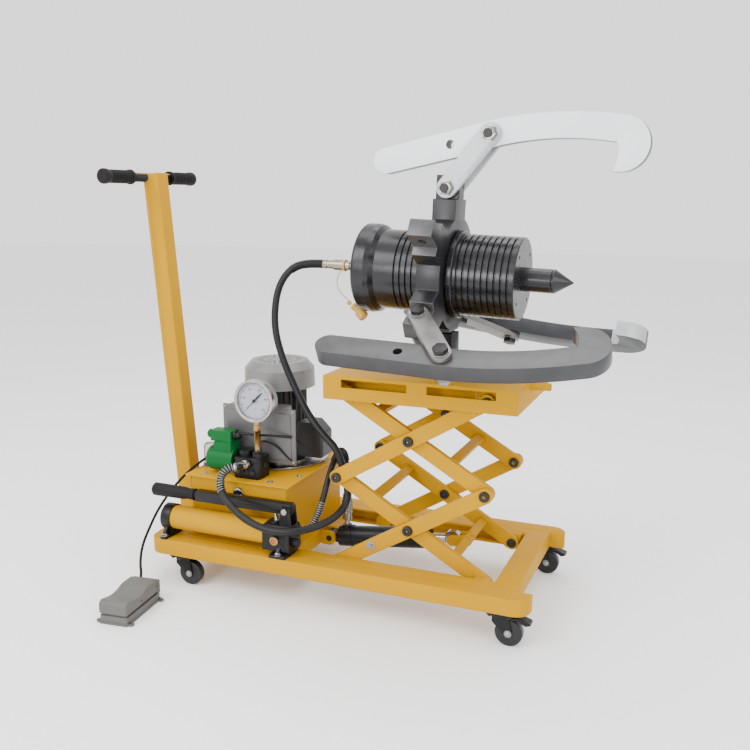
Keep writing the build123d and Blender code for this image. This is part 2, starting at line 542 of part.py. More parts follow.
with BuildPart() as cylinder_barrel:
    with BuildSketch(profile_plane()):
        with BuildLine():
            outline = [(REAR + END_CAP, 0), (REAR + END_CAP, CAP_R), (CAP_STATION, CAP_R),
                       (CAP_WAIST, CAP_R - 3), (BARREL_START, BARREL_R)]
            for station in REAR_GROOVES + FRONT_GROOVES:
                outline += groove(station)
            outline += [(FRONT - BARREL_EDGE, BARREL_R), (FRONT, BARREL_R - BARREL_EDGE),
                        (FRONT, ROD_R + FIT), (FRONT - GLAND, ROD_R + FIT), (FRONT - GLAND, BORE_R),
                        (REAR + END_CAP + FLOOR_THICK, BORE_R), (REAR + END_CAP + FLOOR_THICK, 0)]
            Polyline(*outline, close=True)
        make_face()
    revolve(axis=Axis(PULLER, AXIS))
    with BuildSketch(puller_plane(FRONT)):
        with PolarLocations(SPANNER_RING, SPANNER_HOLES, start_angle=SPANNER_TURN):
            Circle(SPANNER_R)
    extrude(amount=-SPANNER_DEEP, mode=Mode.SUBTRACT)
write(cylinder_barrel.part, "cylinder_barrel")

LOCK_START, LOCK_LONG, LOCK_R, LOCK_EDGE = 30.0, 14.0, 102.0, 2.0
CAP_ROUND, SEAT_R, SEAT_LONG = 9.0, 34.0, 3.0
with BuildPart() as cylinder_rings:
    disc(puller_plane(REAR), CAP_R, END_CAP)
    fillet(cylinder_rings.edges().filter_by(GeomType.CIRCLE).sort_by(Axis(PULLER, AXIS))[0],
           CAP_ROUND)
    disc(puller_plane(REAR - SEAT_LONG), SEAT_R, SEAT_LONG)
    disc(puller_plane(LOCK_START), LOCK_R, LOCK_LONG, hole=BARREL_R + FIT)
    chamfer(cylinder_rings.edges().filter_by(GeomType.CIRCLE).filter_by(
        lambda edge: abs(edge.radius - LOCK_R) < FIT), LOCK_EDGE)
write(cylinder_rings.part, "cylinder_rings")

PISTON_AT, PISTON_THICK, ROD_END, CONE_LAND, CONE_END = -168.0, 34.0, 254.0, 5.0, 302.0
ROD_EDGE = 1.5
with BuildPart() as piston_rod:
    disc(puller_plane(PISTON_AT), BORE_R - FIT, PISTON_THICK)
    disc(puller_plane(PISTON_AT + PISTON_THICK), ROD_R, ROD_END - PISTON_AT - PISTON_THICK)
    chamfer(piston_rod.edges().filter_by(GeomType.CIRCLE).sort_by(Axis(PULLER, AXIS))[-1],
            ROD_EDGE)
    with BuildSketch(profile_plane()):
        with BuildLine():
            Polyline((ROD_END, 0), (ROD_END, ROD_R - ROD_EDGE), (ROD_END + ROD_EDGE, ROD_R),
                     (ROD_END + CONE_LAND, ROD_R), (CONE_END - ROD_EDGE, ROD_EDGE), (CONE_END, 0),
                     close=True)
        make_face()
    revolve(axis=Axis(PULLER, AXIS))
write(piston_rod.part, "piston_rod")

# ---------------------------------------------------------------- yoke and its post
BOLT_HEAD_R, BOLT_HEAD_LONG, NUT_LONG, BOLT_END = 15.0, 11.0, 13.0, 5.0
LINK_AIR = 0.5                      # between a jaw's side and the link plate beside it
link_face = JAW_THICK / 2 + LINK_AIR
link_outer = link_face + LINK_THICK


def bolt(plane):
    """Hexagon bolt through both link plates: its nut and threaded end are on the plane's front."""
    head_face, nut_face = plane.offset(-link_outer - GAP), plane.offset(link_outer + GAP)
    disc(head_face, JAW_PIN_R, 2 * (link_outer + GAP) + NUT_LONG + BOLT_END)
    for face, tall in ((head_face, -BOLT_HEAD_LONG), (nut_face, NUT_LONG)):
        with BuildSketch(face) as hexagon:
            RegularPolygon(BOLT_HEAD_R, 6, major_radius=False)
        extrude(hexagon.sketch, amount=tall)


LUG_ANGLES = (*ARM_ANGLES.values(), FREE_LUG)
LUG_ROOT, POST_X_HALF, POST_Y_HALF, POST_LAP, POST_EDGE = 26.0, 27.0, 30.0, 6.0, 8.0
PLATE_X_HALF, PLATE_Y_HALF, PLATE_HIGH, CLAMP_Y_HALF, CLAMP_DEEP = 48.0, 56.0, 10.0, 40.0, 35.5
with BuildPart() as yoke:
    with BuildSketch(puller_plane(-YOKE_HALF)) as yoke_face:
        Circle(HUB_R)
        for angle in LUG_ANGLES:
            with Locations(Rotation(0, 0, angle)):
                with Locations((LUG_R / 2, 0)):
                    Rectangle(LUG_R, LUG_WIDE)
                with Locations((TONGUE_R / 2, 0)):
                    Rectangle(TONGUE_R, JAW_THICK)
        with Locations((0, -HUB_R / 2)):
            Rectangle(2 * (POST_Y_HALF + POST_EDGE), HUB_R + POST_LAP)
        corners = yoke_face.vertices()
        centre = Vector(*puller_plane(-YOKE_HALF).origin)
        lug_feet = corners.filter_by(lambda v: abs((Vector(*v) - centre).length - HUB_R) < 0.01)
        fillet(lug_feet, LUG_ROOT)
        Circle(BARREL_R + FIT, mode=Mode.SUBTRACT)
    extrude(amount=2 * YOKE_HALF)
    disc(arm_plane(FREE_LUG, yoke_pin(FREE_LUG)).offset(-JAW_THICK), JAW_PIN_R + FIT, 2 * JAW_THICK,
         mode=Mode.SUBTRACT)
    for angle in ARM_ANGLES.values():
        bolt(arm_plane(angle, yoke_pin(angle)))
write(yoke.part, "yoke")

with BuildPart() as support_post:
    block(PULLER_X - POST_X_HALF, PULLER_X + POST_X_HALF, -POST_Y_HALF, POST_Y_HALF, TABLE_HIGH,
          PULLER_Z - HUB_R - POST_EDGE)
    block(PULLER_X - PLATE_X_HALF, PULLER_X + PLATE_X_HALF, -PLATE_Y_HALF, PLATE_Y_HALF,
          TABLE_HIGH, TABLE_HIGH + PLATE_HIGH)
    block(PULLER_X - PLATE_X_HALF, PULLER_X + PLATE_X_HALF, -CLAMP_Y_HALF, CLAMP_Y_HALF,
          ceiling - CLAMP_DEEP, ceiling)
    split(bisect_by=Plane(origin=PULLER - Vector(0, 0, HUB_R + POST_LAP), z_dir=radial(90)),
          keep=Keep.BOTTOM)
write(support_post.part, "support_post")

# ---------------------------------------------------------------- links and jaws
SPARE_HOLE_X, LINK_EDGE = -97.0, 1.0
for name, angle in ARM_ANGLES.items():
    swing, pivot = LINK_ANGLES[name], jaw_pin(name)
    middle = (yoke_pin(angle) + pivot) * 0.5
    with BuildPart() as link:
        for side in SIDES:
            start = link_face if side > 0 else -link_outer
            with BuildSketch(arm_plane(angle, middle, 90 - swing).offset(start)):
                SlotCenterToCenter(LINK_LENGTH, LINK_WIDE)
                with Locations((-LINK_LENGTH / 2, 0)):
                    Circle(JAW_PIN_R + FIT, mode=Mode.SUBTRACT)
            extrude(amount=LINK_THICK)
        chamfer(link.faces().filter_by(GeomType.PLANE).filter_by(
            Axis(PULLER, arm_plane(angle).z_dir)).edges().filter_by(
            lambda edge: edge.length > 3 * LINK_WIDE / 2 or edge.geom_type == GeomType.LINE),
            LINK_EDGE)
        bolt(arm_plane(angle, pivot, 90 - swing))
    write(link.part, f"link_{name}")

    with BuildPart() as jaw:
        with BuildSketch(arm_plane(angle, pivot, JAW_ANGLES[name]).offset(-JAW_THICK / 2)):
            with BuildLine():
                Line((0, 29), (-259, 31))
                ThreePointArc((-259, 31), (-289, 1), (-262, -28))
                Line((-262, -28), (-60, -32))
                ThreePointArc((-60, -32), (100, -38), (262, -84))
                ThreePointArc((262, -84), (256, -118), (240, -142))
                Line((240, -142), (262, -147.5))
                ThreePointArc((262, -147.5), (330, -88), (288, -31))
                ThreePointArc((288, -31), (148, 11), (0, 29))
            make_face()
            with Locations((0, 0), (SPARE_HOLE_X, 0)):
                Circle(JAW_PIN_R + FIT, mode=Mode.SUBTRACT)
        extrude(amount=JAW_THICK)
    write(jaw.part, f"jaw_{name}")

# ---------------------------------------------------------------- rear coupler and dust cap
REAR_STEPS = ((8.0, 40.0), (11.5, 12.0), (13.5, 30.0), (11.0, 14.0))
with BuildPart() as rear_coupler:
    station = REAR - SEAT_LONG
    for step_r, step_long in REAR_STEPS:
        disc(puller_plane(station - step_long), step_r, step_long)
        station -= step_long
write(rear_coupler.part, "rear_coupler")
COUPLER_END = station

# ---------------------------------------------------------------- tank and pump unit
WALL, TANK_CORNER = 3.0, 6.0
with BuildPart() as tank:
    block(TANK_X0, TANK_X1, TANK_Y0, TANK_Y1, DECK_Z, LID_Z)
    fillet(tank.edges().filter_by(Axis.Z), TANK_CORNER)
    block(TANK_X0 + WALL, TANK_X1 - WALL, TANK_Y0 + WALL, TANK_Y1 - WALL, DECK_Z + WALL, LID_Z,
          mode=Mode.SUBTRACT)
write(tank.part, "tank")

SHAFT_R, SHAFT_HOLE_R = 12.0, 18.0
with BuildPart() as tank_lid:
    block(TANK_X0 - LID_LAP, TANK_X1 + LID_LAP, TANK_Y0 - LID_LAP, TANK_Y1 + LID_LAP,
          LID_Z, LID_Z + LID_THICK)
    disc(Plane(origin=(MOTOR_X, MOTOR_Y, LID_Z)), SHAFT_HOLE_R, LID_THICK, mode=Mode.SUBTRACT)
write(tank_lid.part, "tank_lid")

lid_top = LID_Z + LID_THICK
PUMP_R, PUMP_LONG, SUCTION_R, SUCTION_LONG, SUCTION_Y = 46.0, 60.0, 9.0, 40.0, MOTOR_Y - 28.0
SOCKET_DEEP = 24.0
with BuildPart() as pump_unit:
    disc(Plane(origin=(MOTOR_X, MOTOR_Y, LID_Z - PUMP_LONG)), PUMP_R, PUMP_LONG)
    disc(Plane(origin=(MOTOR_X, MOTOR_Y, LID_Z - SOCKET_DEEP)), SHAFT_R + 1, SOCKET_DEEP,
         mode=Mode.SUBTRACT)
    disc(Plane(origin=(MOTOR_X, SUCTION_Y, LID_Z - PUMP_LONG - SUCTION_LONG)), SUCTION_R,
         SUCTION_LONG)
write(pump_unit.part, "pump_unit")

FLANGE_R, FLANGE_THICK, BELL_R, BELL_TOP, FIN_COUNT, FIN_THICK = 88.0, 10.0, 66.0, 344.0, 28, 3.0
CORE_R, FIN_LONG, ROTOR_R, ROTOR_ROOM, FAN_LOW = MOTOR_R - 10, 14.0, 38.0, 24.0, 496.0
# cover over the motor's capacitor, on the side towards the table
CAPACITOR_X1, CAPACITOR_HALF, CAPACITOR_LOW, CAPACITOR_HIGH = BASE_X - 122.0, 32.0, 298.0, 392.0
CAPACITOR_SLOPE, CAPACITOR_EDGE = 30.0, 6.0
motor_axis = Plane(origin=(MOTOR_X, MOTOR_Y, 0))
with BuildPart() as motor_body:
    with BuildSketch(side_plane(MOTOR_Y + CAPACITOR_HALF)):
        with BuildLine():
            Polyline((MOTOR_X, CAPACITOR_LOW), (CAPACITOR_X1, CAPACITOR_LOW),
                     (CAPACITOR_X1, CAPACITOR_HIGH - CAPACITOR_SLOPE),
                     (CAPACITOR_X1 - CAPACITOR_SLOPE, CAPACITOR_HIGH), (MOTOR_X, CAPACITOR_HIGH),
                     close=True)
        make_face()
    extrude(amount=2 * CAPACITOR_HALF)
    fillet(motor_body.faces().sort_by(Axis.X)[-1].edges(), CAPACITOR_EDGE)
    disc(motor_axis.offset(lid_top), FLANGE_R, FLANGE_THICK)
    disc(motor_axis.offset(lid_top + FLANGE_THICK), BELL_R, BELL_TOP - lid_top - FLANGE_THICK)
    disc(motor_axis.offset(BELL_TOP), CORE_R, COVER_LOW - BELL_TOP)
    with BuildSketch(motor_axis.offset(BELL_TOP)):
        with PolarLocations(MOTOR_R - FIN_LONG / 2, FIN_COUNT):
            Rectangle(FIN_LONG, FIN_THICK)
    extrude(amount=COVER_LOW - BELL_TOP)
    disc(motor_axis.offset(lid_top), SHAFT_R + FIT, COVER_LOW - lid_top, mode=Mode.SUBTRACT)
    disc(motor_axis.offset(BELL_TOP - ROTOR_ROOM), ROTOR_R + GAP, COVER_LOW - BELL_TOP,
         mode=Mode.SUBTRACT)
write(motor_body.part, "motor_body")

FAN_R, BLADES, BLADE_THICK, BLADE_HIGH, BLADE_INNER = 70.0, 8, 3.0, 20.0, 25.0
SHAFT_LOW, ROTOR_LOW = LID_Z - 20, BELL_TOP - 20
with BuildPart() as motor_rotor:
    disc(motor_axis.offset(SHAFT_LOW), SHAFT_R, FAN_LOW + BLADE_THICK + BLADE_HIGH + 1 - SHAFT_LOW)
    disc(motor_axis.offset(ROTOR_LOW), ROTOR_R, COVER_LOW - BELL_TOP - 10)
    disc(motor_axis.offset(FAN_LOW), FAN_R, BLADE_THICK)
    with BuildSketch(motor_axis.offset(FAN_LOW + BLADE_THICK)):
        with PolarLocations((FAN_R - 1 + BLADE_INNER) / 2, BLADES):
            Rectangle(FAN_R - 1 - BLADE_INNER, BLADE_THICK)
    extrude(amount=BLADE_HIGH)
write(motor_rotor.part, "motor_rotor")

COVER_WALL, COVER_BEVEL, COVER_TAPER, VENTS, VENT_LONG, VENT_WIDE = 2.5, 20.0, 2.0, 12, 16.0, 5.0
SPIDER_THICK, SPOKES, SPOKE_WIDE, SPIDER_HOLE_R = 3.0, 4, 12.0, 20.0
with BuildPart() as fan_cover:
    with BuildSketch(Plane(origin=(MOTOR_X, MOTOR_Y, 0), x_dir=(1, 0, 0), z_dir=(0, -1, 0))):
        with BuildLine():
            Polyline((0, MOTOR_TOP), (COVER_R - COVER_BEVEL, MOTOR_TOP),
                     (COVER_R - COVER_TAPER, MOTOR_TOP - COVER_BEVEL), (COVER_R, COVER_LOW),
                     (COVER_R - COVER_WALL, COVER_LOW),
                     (COVER_R - COVER_TAPER - COVER_WALL, MOTOR_TOP - COVER_BEVEL - 1),
                     (COVER_R - COVER_BEVEL - 1, MOTOR_TOP - COVER_WALL),
                     (0, MOTOR_TOP - COVER_WALL), close=True)
        make_face()
    revolve(axis=Axis((MOTOR_X, MOTOR_Y, 0), (0, 0, 1)))
    with BuildSketch(motor_axis.offset(MOTOR_TOP)):
        for ring_r, count in ((30, VENTS), (52, 2 * VENTS)):
            with PolarLocations(ring_r, count):
                SlotOverall(VENT_LONG, VENT_WIDE)
    extrude(amount=-COVER_WALL - 1, mode=Mode.SUBTRACT)
    disc(motor_axis.offset(COVER_LOW), MOTOR_R, SPIDER_THICK, hole=SPIDER_HOLE_R)
    with BuildSketch(motor_axis.offset(COVER_LOW)):
        with PolarLocations((MOTOR_R + COVER_R) / 2 - 2, SPOKES, start_angle=180 / SPOKES):
            Rectangle(COVER_R - MOTOR_R, SPOKE_WIDE)
    extrude(amount=SPIDER_THICK)
write(fan_cover.part, "fan_cover")

GLAND_Y, GLAND_Z, GLAND_R, GLAND_LONG = -45.0, 322.0, 7.0, 12.0
BOX_X0, BOX_X1, BOX_Y0, BOX_Z0, BOX_Z1 = BASE_X - 355.0, BASE_X - 150.0, -74.0, 308.0, 448.0
COVER_PLATE, COVER_LAP, BOX_CORNER, BOX_INSET = 4.0, 3.0, 8.0, 40.0
with BuildPart() as terminal_box:
    block(BOX_X0, BOX_X1 - BOX_INSET, BOX_Y0 + COVER_PLATE, MOTOR_Y - MOTOR_R - GAP, BOX_Z0, BOX_Z1)
    fillet(terminal_box.edges().filter_by(Axis.Y), BOX_CORNER)
    block(BOX_X0 - COVER_LAP, BOX_X1 + COVER_LAP, BOX_Y0, BOX_Y0 + COVER_PLATE,
          BOX_Z0 - COVER_LAP, BOX_Z1 + COVER_LAP)
    disc(Plane(origin=(BOX_X0, GLAND_Y, GLAND_Z), z_dir=(-1, 0, 0)), GLAND_R, GLAND_LONG)
write(terminal_box.part, "terminal_box")

# ---------------------------------------------------------------- valve block, solenoid, gauge
PORT_X, PORT_Z, PORT_FACE, PORT_R = BASE_X - 244.0, 322.0, -152.0, 12.0
CROWN_LOW = BLOCK_TOP - 12            # top of the block below its two bosses
BLOCK_EDGE, GAUGE_BOSS_R, COIL_BOSS_R, COIL_BOSS_LONG = 7.0, 14.0, 20.0, 14.0
COIL_X, COIL_Y, COIL_Z, COIL_R, COIL_LONG, COIL_ROUND = BASE_X - 373.0, -116.0, 317.0, 32.0, 80.0, 10.0
with BuildPart() as valve_block:
    block(BLOCK_X0, BLOCK_X1, BLOCK_Y0, BLOCK_Y1, lid_top, CROWN_LOW)
    chamfer(valve_block.edges().filter_by(Axis.Z), BLOCK_EDGE)
    disc(Plane(origin=(GAUGE_X, GAUGE_Y, CROWN_LOW)), GAUGE_BOSS_R, BLOCK_TOP - CROWN_LOW)
    disc(Plane(origin=(BLOCK_X0 + COIL_BOSS_R + 4, COIL_Y, CROWN_LOW)), COIL_BOSS_R, COIL_BOSS_LONG)
    disc(Plane(origin=(PORT_X, BLOCK_Y0, PORT_Z), z_dir=(0, -1, 0)), PORT_R,
         BLOCK_Y0 - PORT_FACE)
write(valve_block.part, "valve_block")

# the plug on the coil: its foot and its housing, each (from, to) in x and half width, and a knob
PLUG_FOOT, PLUG_HOUSING = (24.0, 74.0, 22.0), (12.0, 72.0, 18.0)
PLUG_LOW, PLUG_WAIST, PLUG_TOP, PLUG_KNOB_R, PLUG_KNOB_Z = 24.0, 48.0, 76.0, 10.0, 64.0
with BuildPart() as solenoid_valve:
    disc(cross_plane(COIL_X, COIL_Y, COIL_Z), COIL_R, COIL_LONG)
    fillet(solenoid_valve.edges().filter_by(GeomType.CIRCLE).sort_by(Axis.X)[0], COIL_ROUND)
    for (start, end, half), low, high in ((PLUG_FOOT, PLUG_LOW, PLUG_WAIST),
                                          (PLUG_HOUSING, PLUG_WAIST, PLUG_TOP)):
        block(COIL_X + start, COIL_X + end, COIL_Y - half, COIL_Y + half, COIL_Z + low, COIL_Z + high)
    disc(cross_plane(COIL_X + 2, COIL_Y, COIL_Z + PLUG_KNOB_Z), PLUG_KNOB_R, PLUG_HOUSING[0])
write(solenoid_valve.part, "solenoid_valve")

CASE_DEEP, STEM_R, BEZEL_DEEP, BEZEL_WIDE, RECESS_DEEP = 34.0, 8.0, 11.0, 6.0, 10.0
STEM_NUT_R, STEM_NUT_LOW, STEM_NUT_LONG = 10.0, 24.0, 16.0
gauge_front = GAUGE_Y - CASE_DEEP / 2


def gauge_plane(y):
    """Plane facing -Y at the gauge's middle."""
    return Plane(origin=(GAUGE_X, y, GAUGE_Z), x_dir=(1, 0, 0), z_dir=(0, -1, 0))


with BuildPart() as gauge_case:
    disc(gauge_plane(gauge_front + CASE_DEEP), GAUGE_R - 3, CASE_DEEP)
    disc(gauge_plane(gauge_front + BEZEL_DEEP), GAUGE_R, BEZEL_DEEP)
    disc(gauge_plane(gauge_front), GAUGE_R - BEZEL_WIDE, -RECESS_DEEP, mode=Mode.SUBTRACT)
    disc(Plane(origin=(GAUGE_X, GAUGE_Y, BLOCK_TOP)), STEM_R, GAUGE_Z - GAUGE_R - BLOCK_TOP + 6)
    with BuildSketch(Plane(origin=(GAUGE_X, GAUGE_Y, GAUGE_Z - GAUGE_R - STEM_NUT_LOW))):
        RegularPolygon(STEM_NUT_R, 6)
    extrude(amount=STEM_NUT_LONG)
write(gauge_case.part, "gauge_case")

POINTER_ANGLE, POINTER_LONG, POINTER_TAIL = 45.0, 33.0, 30.0
POINTER_HUB_R, POINTER_THICK, POINTER_IN = 4.0, 1.2, 6.0
with BuildPart() as gauge_pointer:
    with BuildSketch(Plane(origin=(GAUGE_X, gauge_front + POINTER_IN, GAUGE_Z), z_dir=(0, -1, 0),
                           x_dir=(cos(radians(POINTER_ANGLE)), 0, sin(radians(POINTER_ANGLE))))):
        with BuildLine():
            Polyline((-POINTER_TAIL, 0.5), (0, 1.2), (4, 2.4), (POINTER_LONG - 14, 2.6),
                     (POINTER_LONG, 0.4), (POINTER_LONG, -0.4), (POINTER_LONG - 14, -2.6), (4, -2.4),
                     (0, -1.2), (-POINTER_TAIL, -0.5), close=True)
        make_face()
        Circle(POINTER_HUB_R)
    extrude(amount=POINTER_THICK)
write(gauge_pointer.part, "gauge_pointer")

# ---------------------------------------------------------------- hand pump
FOOT_LOW, FOOT_Y0, WEB_HALF, TOE_REACH, TOE_THICK = RAIL_HIGH, -236.0, 20.0, 30.0, 8.0
with BuildPart() as hand_pump_tube:
    disc(cross_plane(HAND_X0, HAND_Y, HAND_Z), HAND_R, HAND_X1 - HAND_X0)
write(hand_pump_tube.part, "hand_pump_tube")


def pump_foot(x0, x1):
    """Web and splayed toes under one end of the hand pump."""
    block(x0, x1, HAND_Y - WEB_HALF, HAND_Y + WEB_HALF, FOOT_LOW, HAND_Z)
    block(x0 + 2, x1 - 2, FOOT_Y0, HAND_Y + TOE_REACH, FOOT_LOW, FOOT_LOW + TOE_THICK)


OUTLET_Y, OUTLET_Z, OUTLET_LONG = -180.0, 180.0, 8.0
HEAD_LEFT, HEAD_RIGHT, HEAD_TOP = HAND_X1, BASE_X - 92.0, 203.0
HEAD_HALF, HEAD_DROP, HEAD_EDGE, END_LONG = 31.0, 34.0, 8.0, 26.0
COLLAR_HIGH, PLUG_R, PLUG_OUT, OUTLET_R = 8.0, 10.5, 5.0, 10.0
PLUNGER_X, PLUNGER_R = BASE_X - 140.0, 9.0
FORK_Y, FORK_THICK, FORK_PIN_R = 14.0, 5.0, 5.0
with BuildPart() as hand_pump_castings:
    disc(cross_plane(HAND_X0 - END_LONG, HAND_Y, HAND_Z), HAND_R + 4, END_LONG)
    pump_foot(HAND_X0 - END_LONG + 4, HAND_X0 - 2)
    block(HEAD_LEFT, HEAD_RIGHT, HAND_Y - HEAD_HALF, HAND_Y + HEAD_HALF, HAND_Z - HEAD_DROP,
          HEAD_TOP - 6)
    chamfer(hand_pump_castings.edges().filter_by(Axis.X).group_by(Axis.Z)[-1], HEAD_EDGE)
    pump_foot(HEAD_LEFT + 22, HEAD_RIGHT - 4)
    disc(Plane(origin=(PLUNGER_X, HAND_Y, HEAD_TOP - COLLAR_HIGH)), PLUNGER_R + 5, COLLAR_HIGH)
    disc(Plane(origin=(PLUNGER_X, HAND_Y, HAND_Z - 10)), PLUNGER_R + FIT, HEAD_TOP - HAND_Z + 10,
         mode=Mode.SUBTRACT)
    for side in SIDES:
        y0, y1 = sorted((HAND_Y + side * FORK_Y, HAND_Y + side * (FORK_Y + FORK_THICK)))
        with BuildSketch(side_plane(y1)) as cheek:
            with BuildLine():
                Polyline((LEVER_X - 16, HEAD_TOP - 10), (HEAD_RIGHT, HEAD_TOP - 10),
                         (LEVER_X + 11, LEVER_Z + 9), (LEVER_X - 11, LEVER_Z + 9), close=True)
            make_face()
            with Locations((LEVER_X, LEVER_Z)):
                Circle(FORK_PIN_R + FIT, mode=Mode.SUBTRACT)
        extrude(cheek.sketch, amount=FORK_THICK)
    disc(Plane(origin=(HEAD_LEFT + 36, HAND_Y - HEAD_HALF, HAND_Z - 6), z_dir=(0, -1, 0)), PLUG_R,
         PLUG_OUT)
    disc(cross_plane(HEAD_RIGHT, OUTLET_Y, OUTLET_Z), OUTLET_R, OUTLET_LONG)
write(hand_pump_castings.part, "hand_pump_castings")

LEVER_END, BAR_END, LEVER_GRIP_R, LEVER_BAR_HALF = BASE_X - 500.0, BASE_X - 368.0, 16.0, 12.0
BAR_LOW, BAR_TOP, BAR_WALL = LEVER_Z - 10, LEVER_Z + 16, 3.0
GRIP_LINE, TUBE_R, GRIP_STEP = LEVER_Z + 3, 11.0, 4.0    # height of the grip's middle, its inner tube
lever_pin_half = FORK_Y + FORK_THICK + 3
with BuildPart() as pump_lever:
    block(BAR_END, LEVER_X + 12, HAND_Y - LEVER_BAR_HALF, HAND_Y + LEVER_BAR_HALF, BAR_LOW, BAR_TOP)
    block(BAR_END + 2, LEVER_X - 16, HAND_Y - LEVER_BAR_HALF + BAR_WALL,
          HAND_Y + LEVER_BAR_HALF - BAR_WALL, BAR_LOW, BAR_TOP - BAR_WALL, mode=Mode.SUBTRACT)
    disc(side_plane(HAND_Y + lever_pin_half).shift_origin((LEVER_X, HAND_Y + lever_pin_half, LEVER_Z)),
         FORK_PIN_R, 2 * lever_pin_half)
    disc(cross_plane(LEVER_END + GRIP_STEP, HAND_Y, GRIP_LINE), TUBE_R, BAR_END - LEVER_END + 6)
    with BuildSketch(Plane(origin=(0, HAND_Y, GRIP_LINE), x_dir=(1, 0, 0), z_dir=(0, -1, 0))):
        with BuildLine():
            Polyline((LEVER_END + GRIP_STEP, TUBE_R + FIT), (BAR_END - 6, TUBE_R + FIT),
                     (BAR_END - 6, LEVER_GRIP_R - 1), (BAR_END - 26, LEVER_GRIP_R - 2.5),
                     (BAR_END - 40, LEVER_GRIP_R), (LEVER_END + 20, LEVER_GRIP_R + 1),
                     (LEVER_END + GRIP_STEP, LEVER_GRIP_R + 1), (LEVER_END, LEVER_GRIP_R - 3),
                     (LEVER_END, 0), (LEVER_END + GRIP_STEP, 0), close=True)
        make_face()
    revolve(axis=Axis((0, HAND_Y, GRIP_LINE), (1, 0, 0)))
write(pump_lever.part, "pump_lever")

PLUNGER_LOW, PLUNGER_NECK, PLUNGER_TOP, NECK_R = HAND_Z - 6, HEAD_TOP + 2, LEVER_Z + 2, 6.0
with BuildPart() as pump_plunger:
    disc(Plane(origin=(PLUNGER_X, HAND_Y, PLUNGER_LOW)), PLUNGER_R, PLUNGER_NECK - PLUNGER_LOW)
    disc(Plane(origin=(PLUNGER_X, HAND_Y, PLUNGER_NECK)), NECK_R, PLUNGER_TOP - PLUNGER_NECK)
write(pump_plunger.part, "pump_plunger")

KNOB_R, KNOB_LONG, KNOB_LOBES, LOBE_R = 11.0, 16.0, 8, 2.0
KNOB_Y, KNOB_Z = HAND_Y - 8.0, HAND_Z - 14.0
with BuildPart() as release_knob:
    with BuildSketch(cross_plane(HEAD_RIGHT + GAP, KNOB_Y, KNOB_Z)):
        Circle(KNOB_R)
        with PolarLocations(KNOB_R + 1, KNOB_LOBES):
            Circle(LOBE_R, mode=Mode.SUBTRACT)
    extrude(amount=KNOB_LONG)
write(release_knob.part, "release_knob")

# ---------------------------------------------------------------- foot switch
switch_axis = Plane(origin=(SWITCH_X, SWITCH_Y, 0)).rotated((0, 0, SWITCH_TURN))
TRAY_HIGH, RISER_HIGH, BLOCK_LONG, HINGE_TOP, SKIRT_LOW = 20.0, 34.0, 13.0, 52.0, 26.0
SHELL_WALL, SHELL_AIR, PEDAL_HIGH, PEDAL_DIP = 3.5, 2.0, 56.0, 45.0
half_long, half_wide = SWITCH_LONG / 2, SWITCH_WIDE / 2
CORD_SIDE, CORD_Z = -20.0, 38.0
HINGE_R, HINGE_Z = 6.0, 40.0
SOLE_THICK, LUG_LONG, LUG_WIDE_FOOT, TRAY_STEP = 5.0, 24.0, 13.0, 2.0
pedal_front, pedal_back = -half_long + 2, half_long - 2 - BLOCK_LONG - 1
hinge_end = Plane(origin=switch_axis.from_local_coords(Vector(-half_wide, pedal_back, HINGE_Z)),
                  x_dir=switch_axis.y_dir, z_dir=switch_axis.x_dir)
with BuildPart() as foot_switch_base:
    with BuildSketch(switch_axis):
        RectangleRounded(SWITCH_WIDE, SWITCH_LONG, 6)
        with GridLocations(SWITCH_WIDE - 4, SWITCH_LONG - 22, 2, 2):
            SlotOverall(LUG_LONG, LUG_WIDE_FOOT)
    extrude(amount=SOLE_THICK)
    with BuildSketch(switch_axis.offset(SOLE_THICK)):
        RectangleRounded(SWITCH_WIDE - 2 * TRAY_STEP, SWITCH_LONG - 2 * TRAY_STEP, 7)
    extrude(amount=TRAY_HIGH - SOLE_THICK)
    with BuildSketch(switch_axis.offset(TRAY_HIGH)):
        with Locations((0, -BLOCK_LONG / 2)):
            Rectangle(SWITCH_WIDE - 6 - 2 * (SHELL_WALL + SHELL_AIR),
                      SWITCH_LONG - 4 - BLOCK_LONG - 2 * (SHELL_WALL + SHELL_AIR))
    extrude(amount=RISER_HIGH - TRAY_HIGH)
    with BuildSketch(switch_axis.offset(TRAY_HIGH)):
        with Locations((0, half_long - 2 - BLOCK_LONG / 2)):
            Rectangle(SWITCH_WIDE - 6, BLOCK_LONG)
    extrude(amount=HINGE_TOP - TRAY_HIGH)
    disc(hinge_end, HINGE_R + FIT, SWITCH_WIDE, mode=Mode.SUBTRACT)
write(foot_switch_base.part, "foot_switch_base")

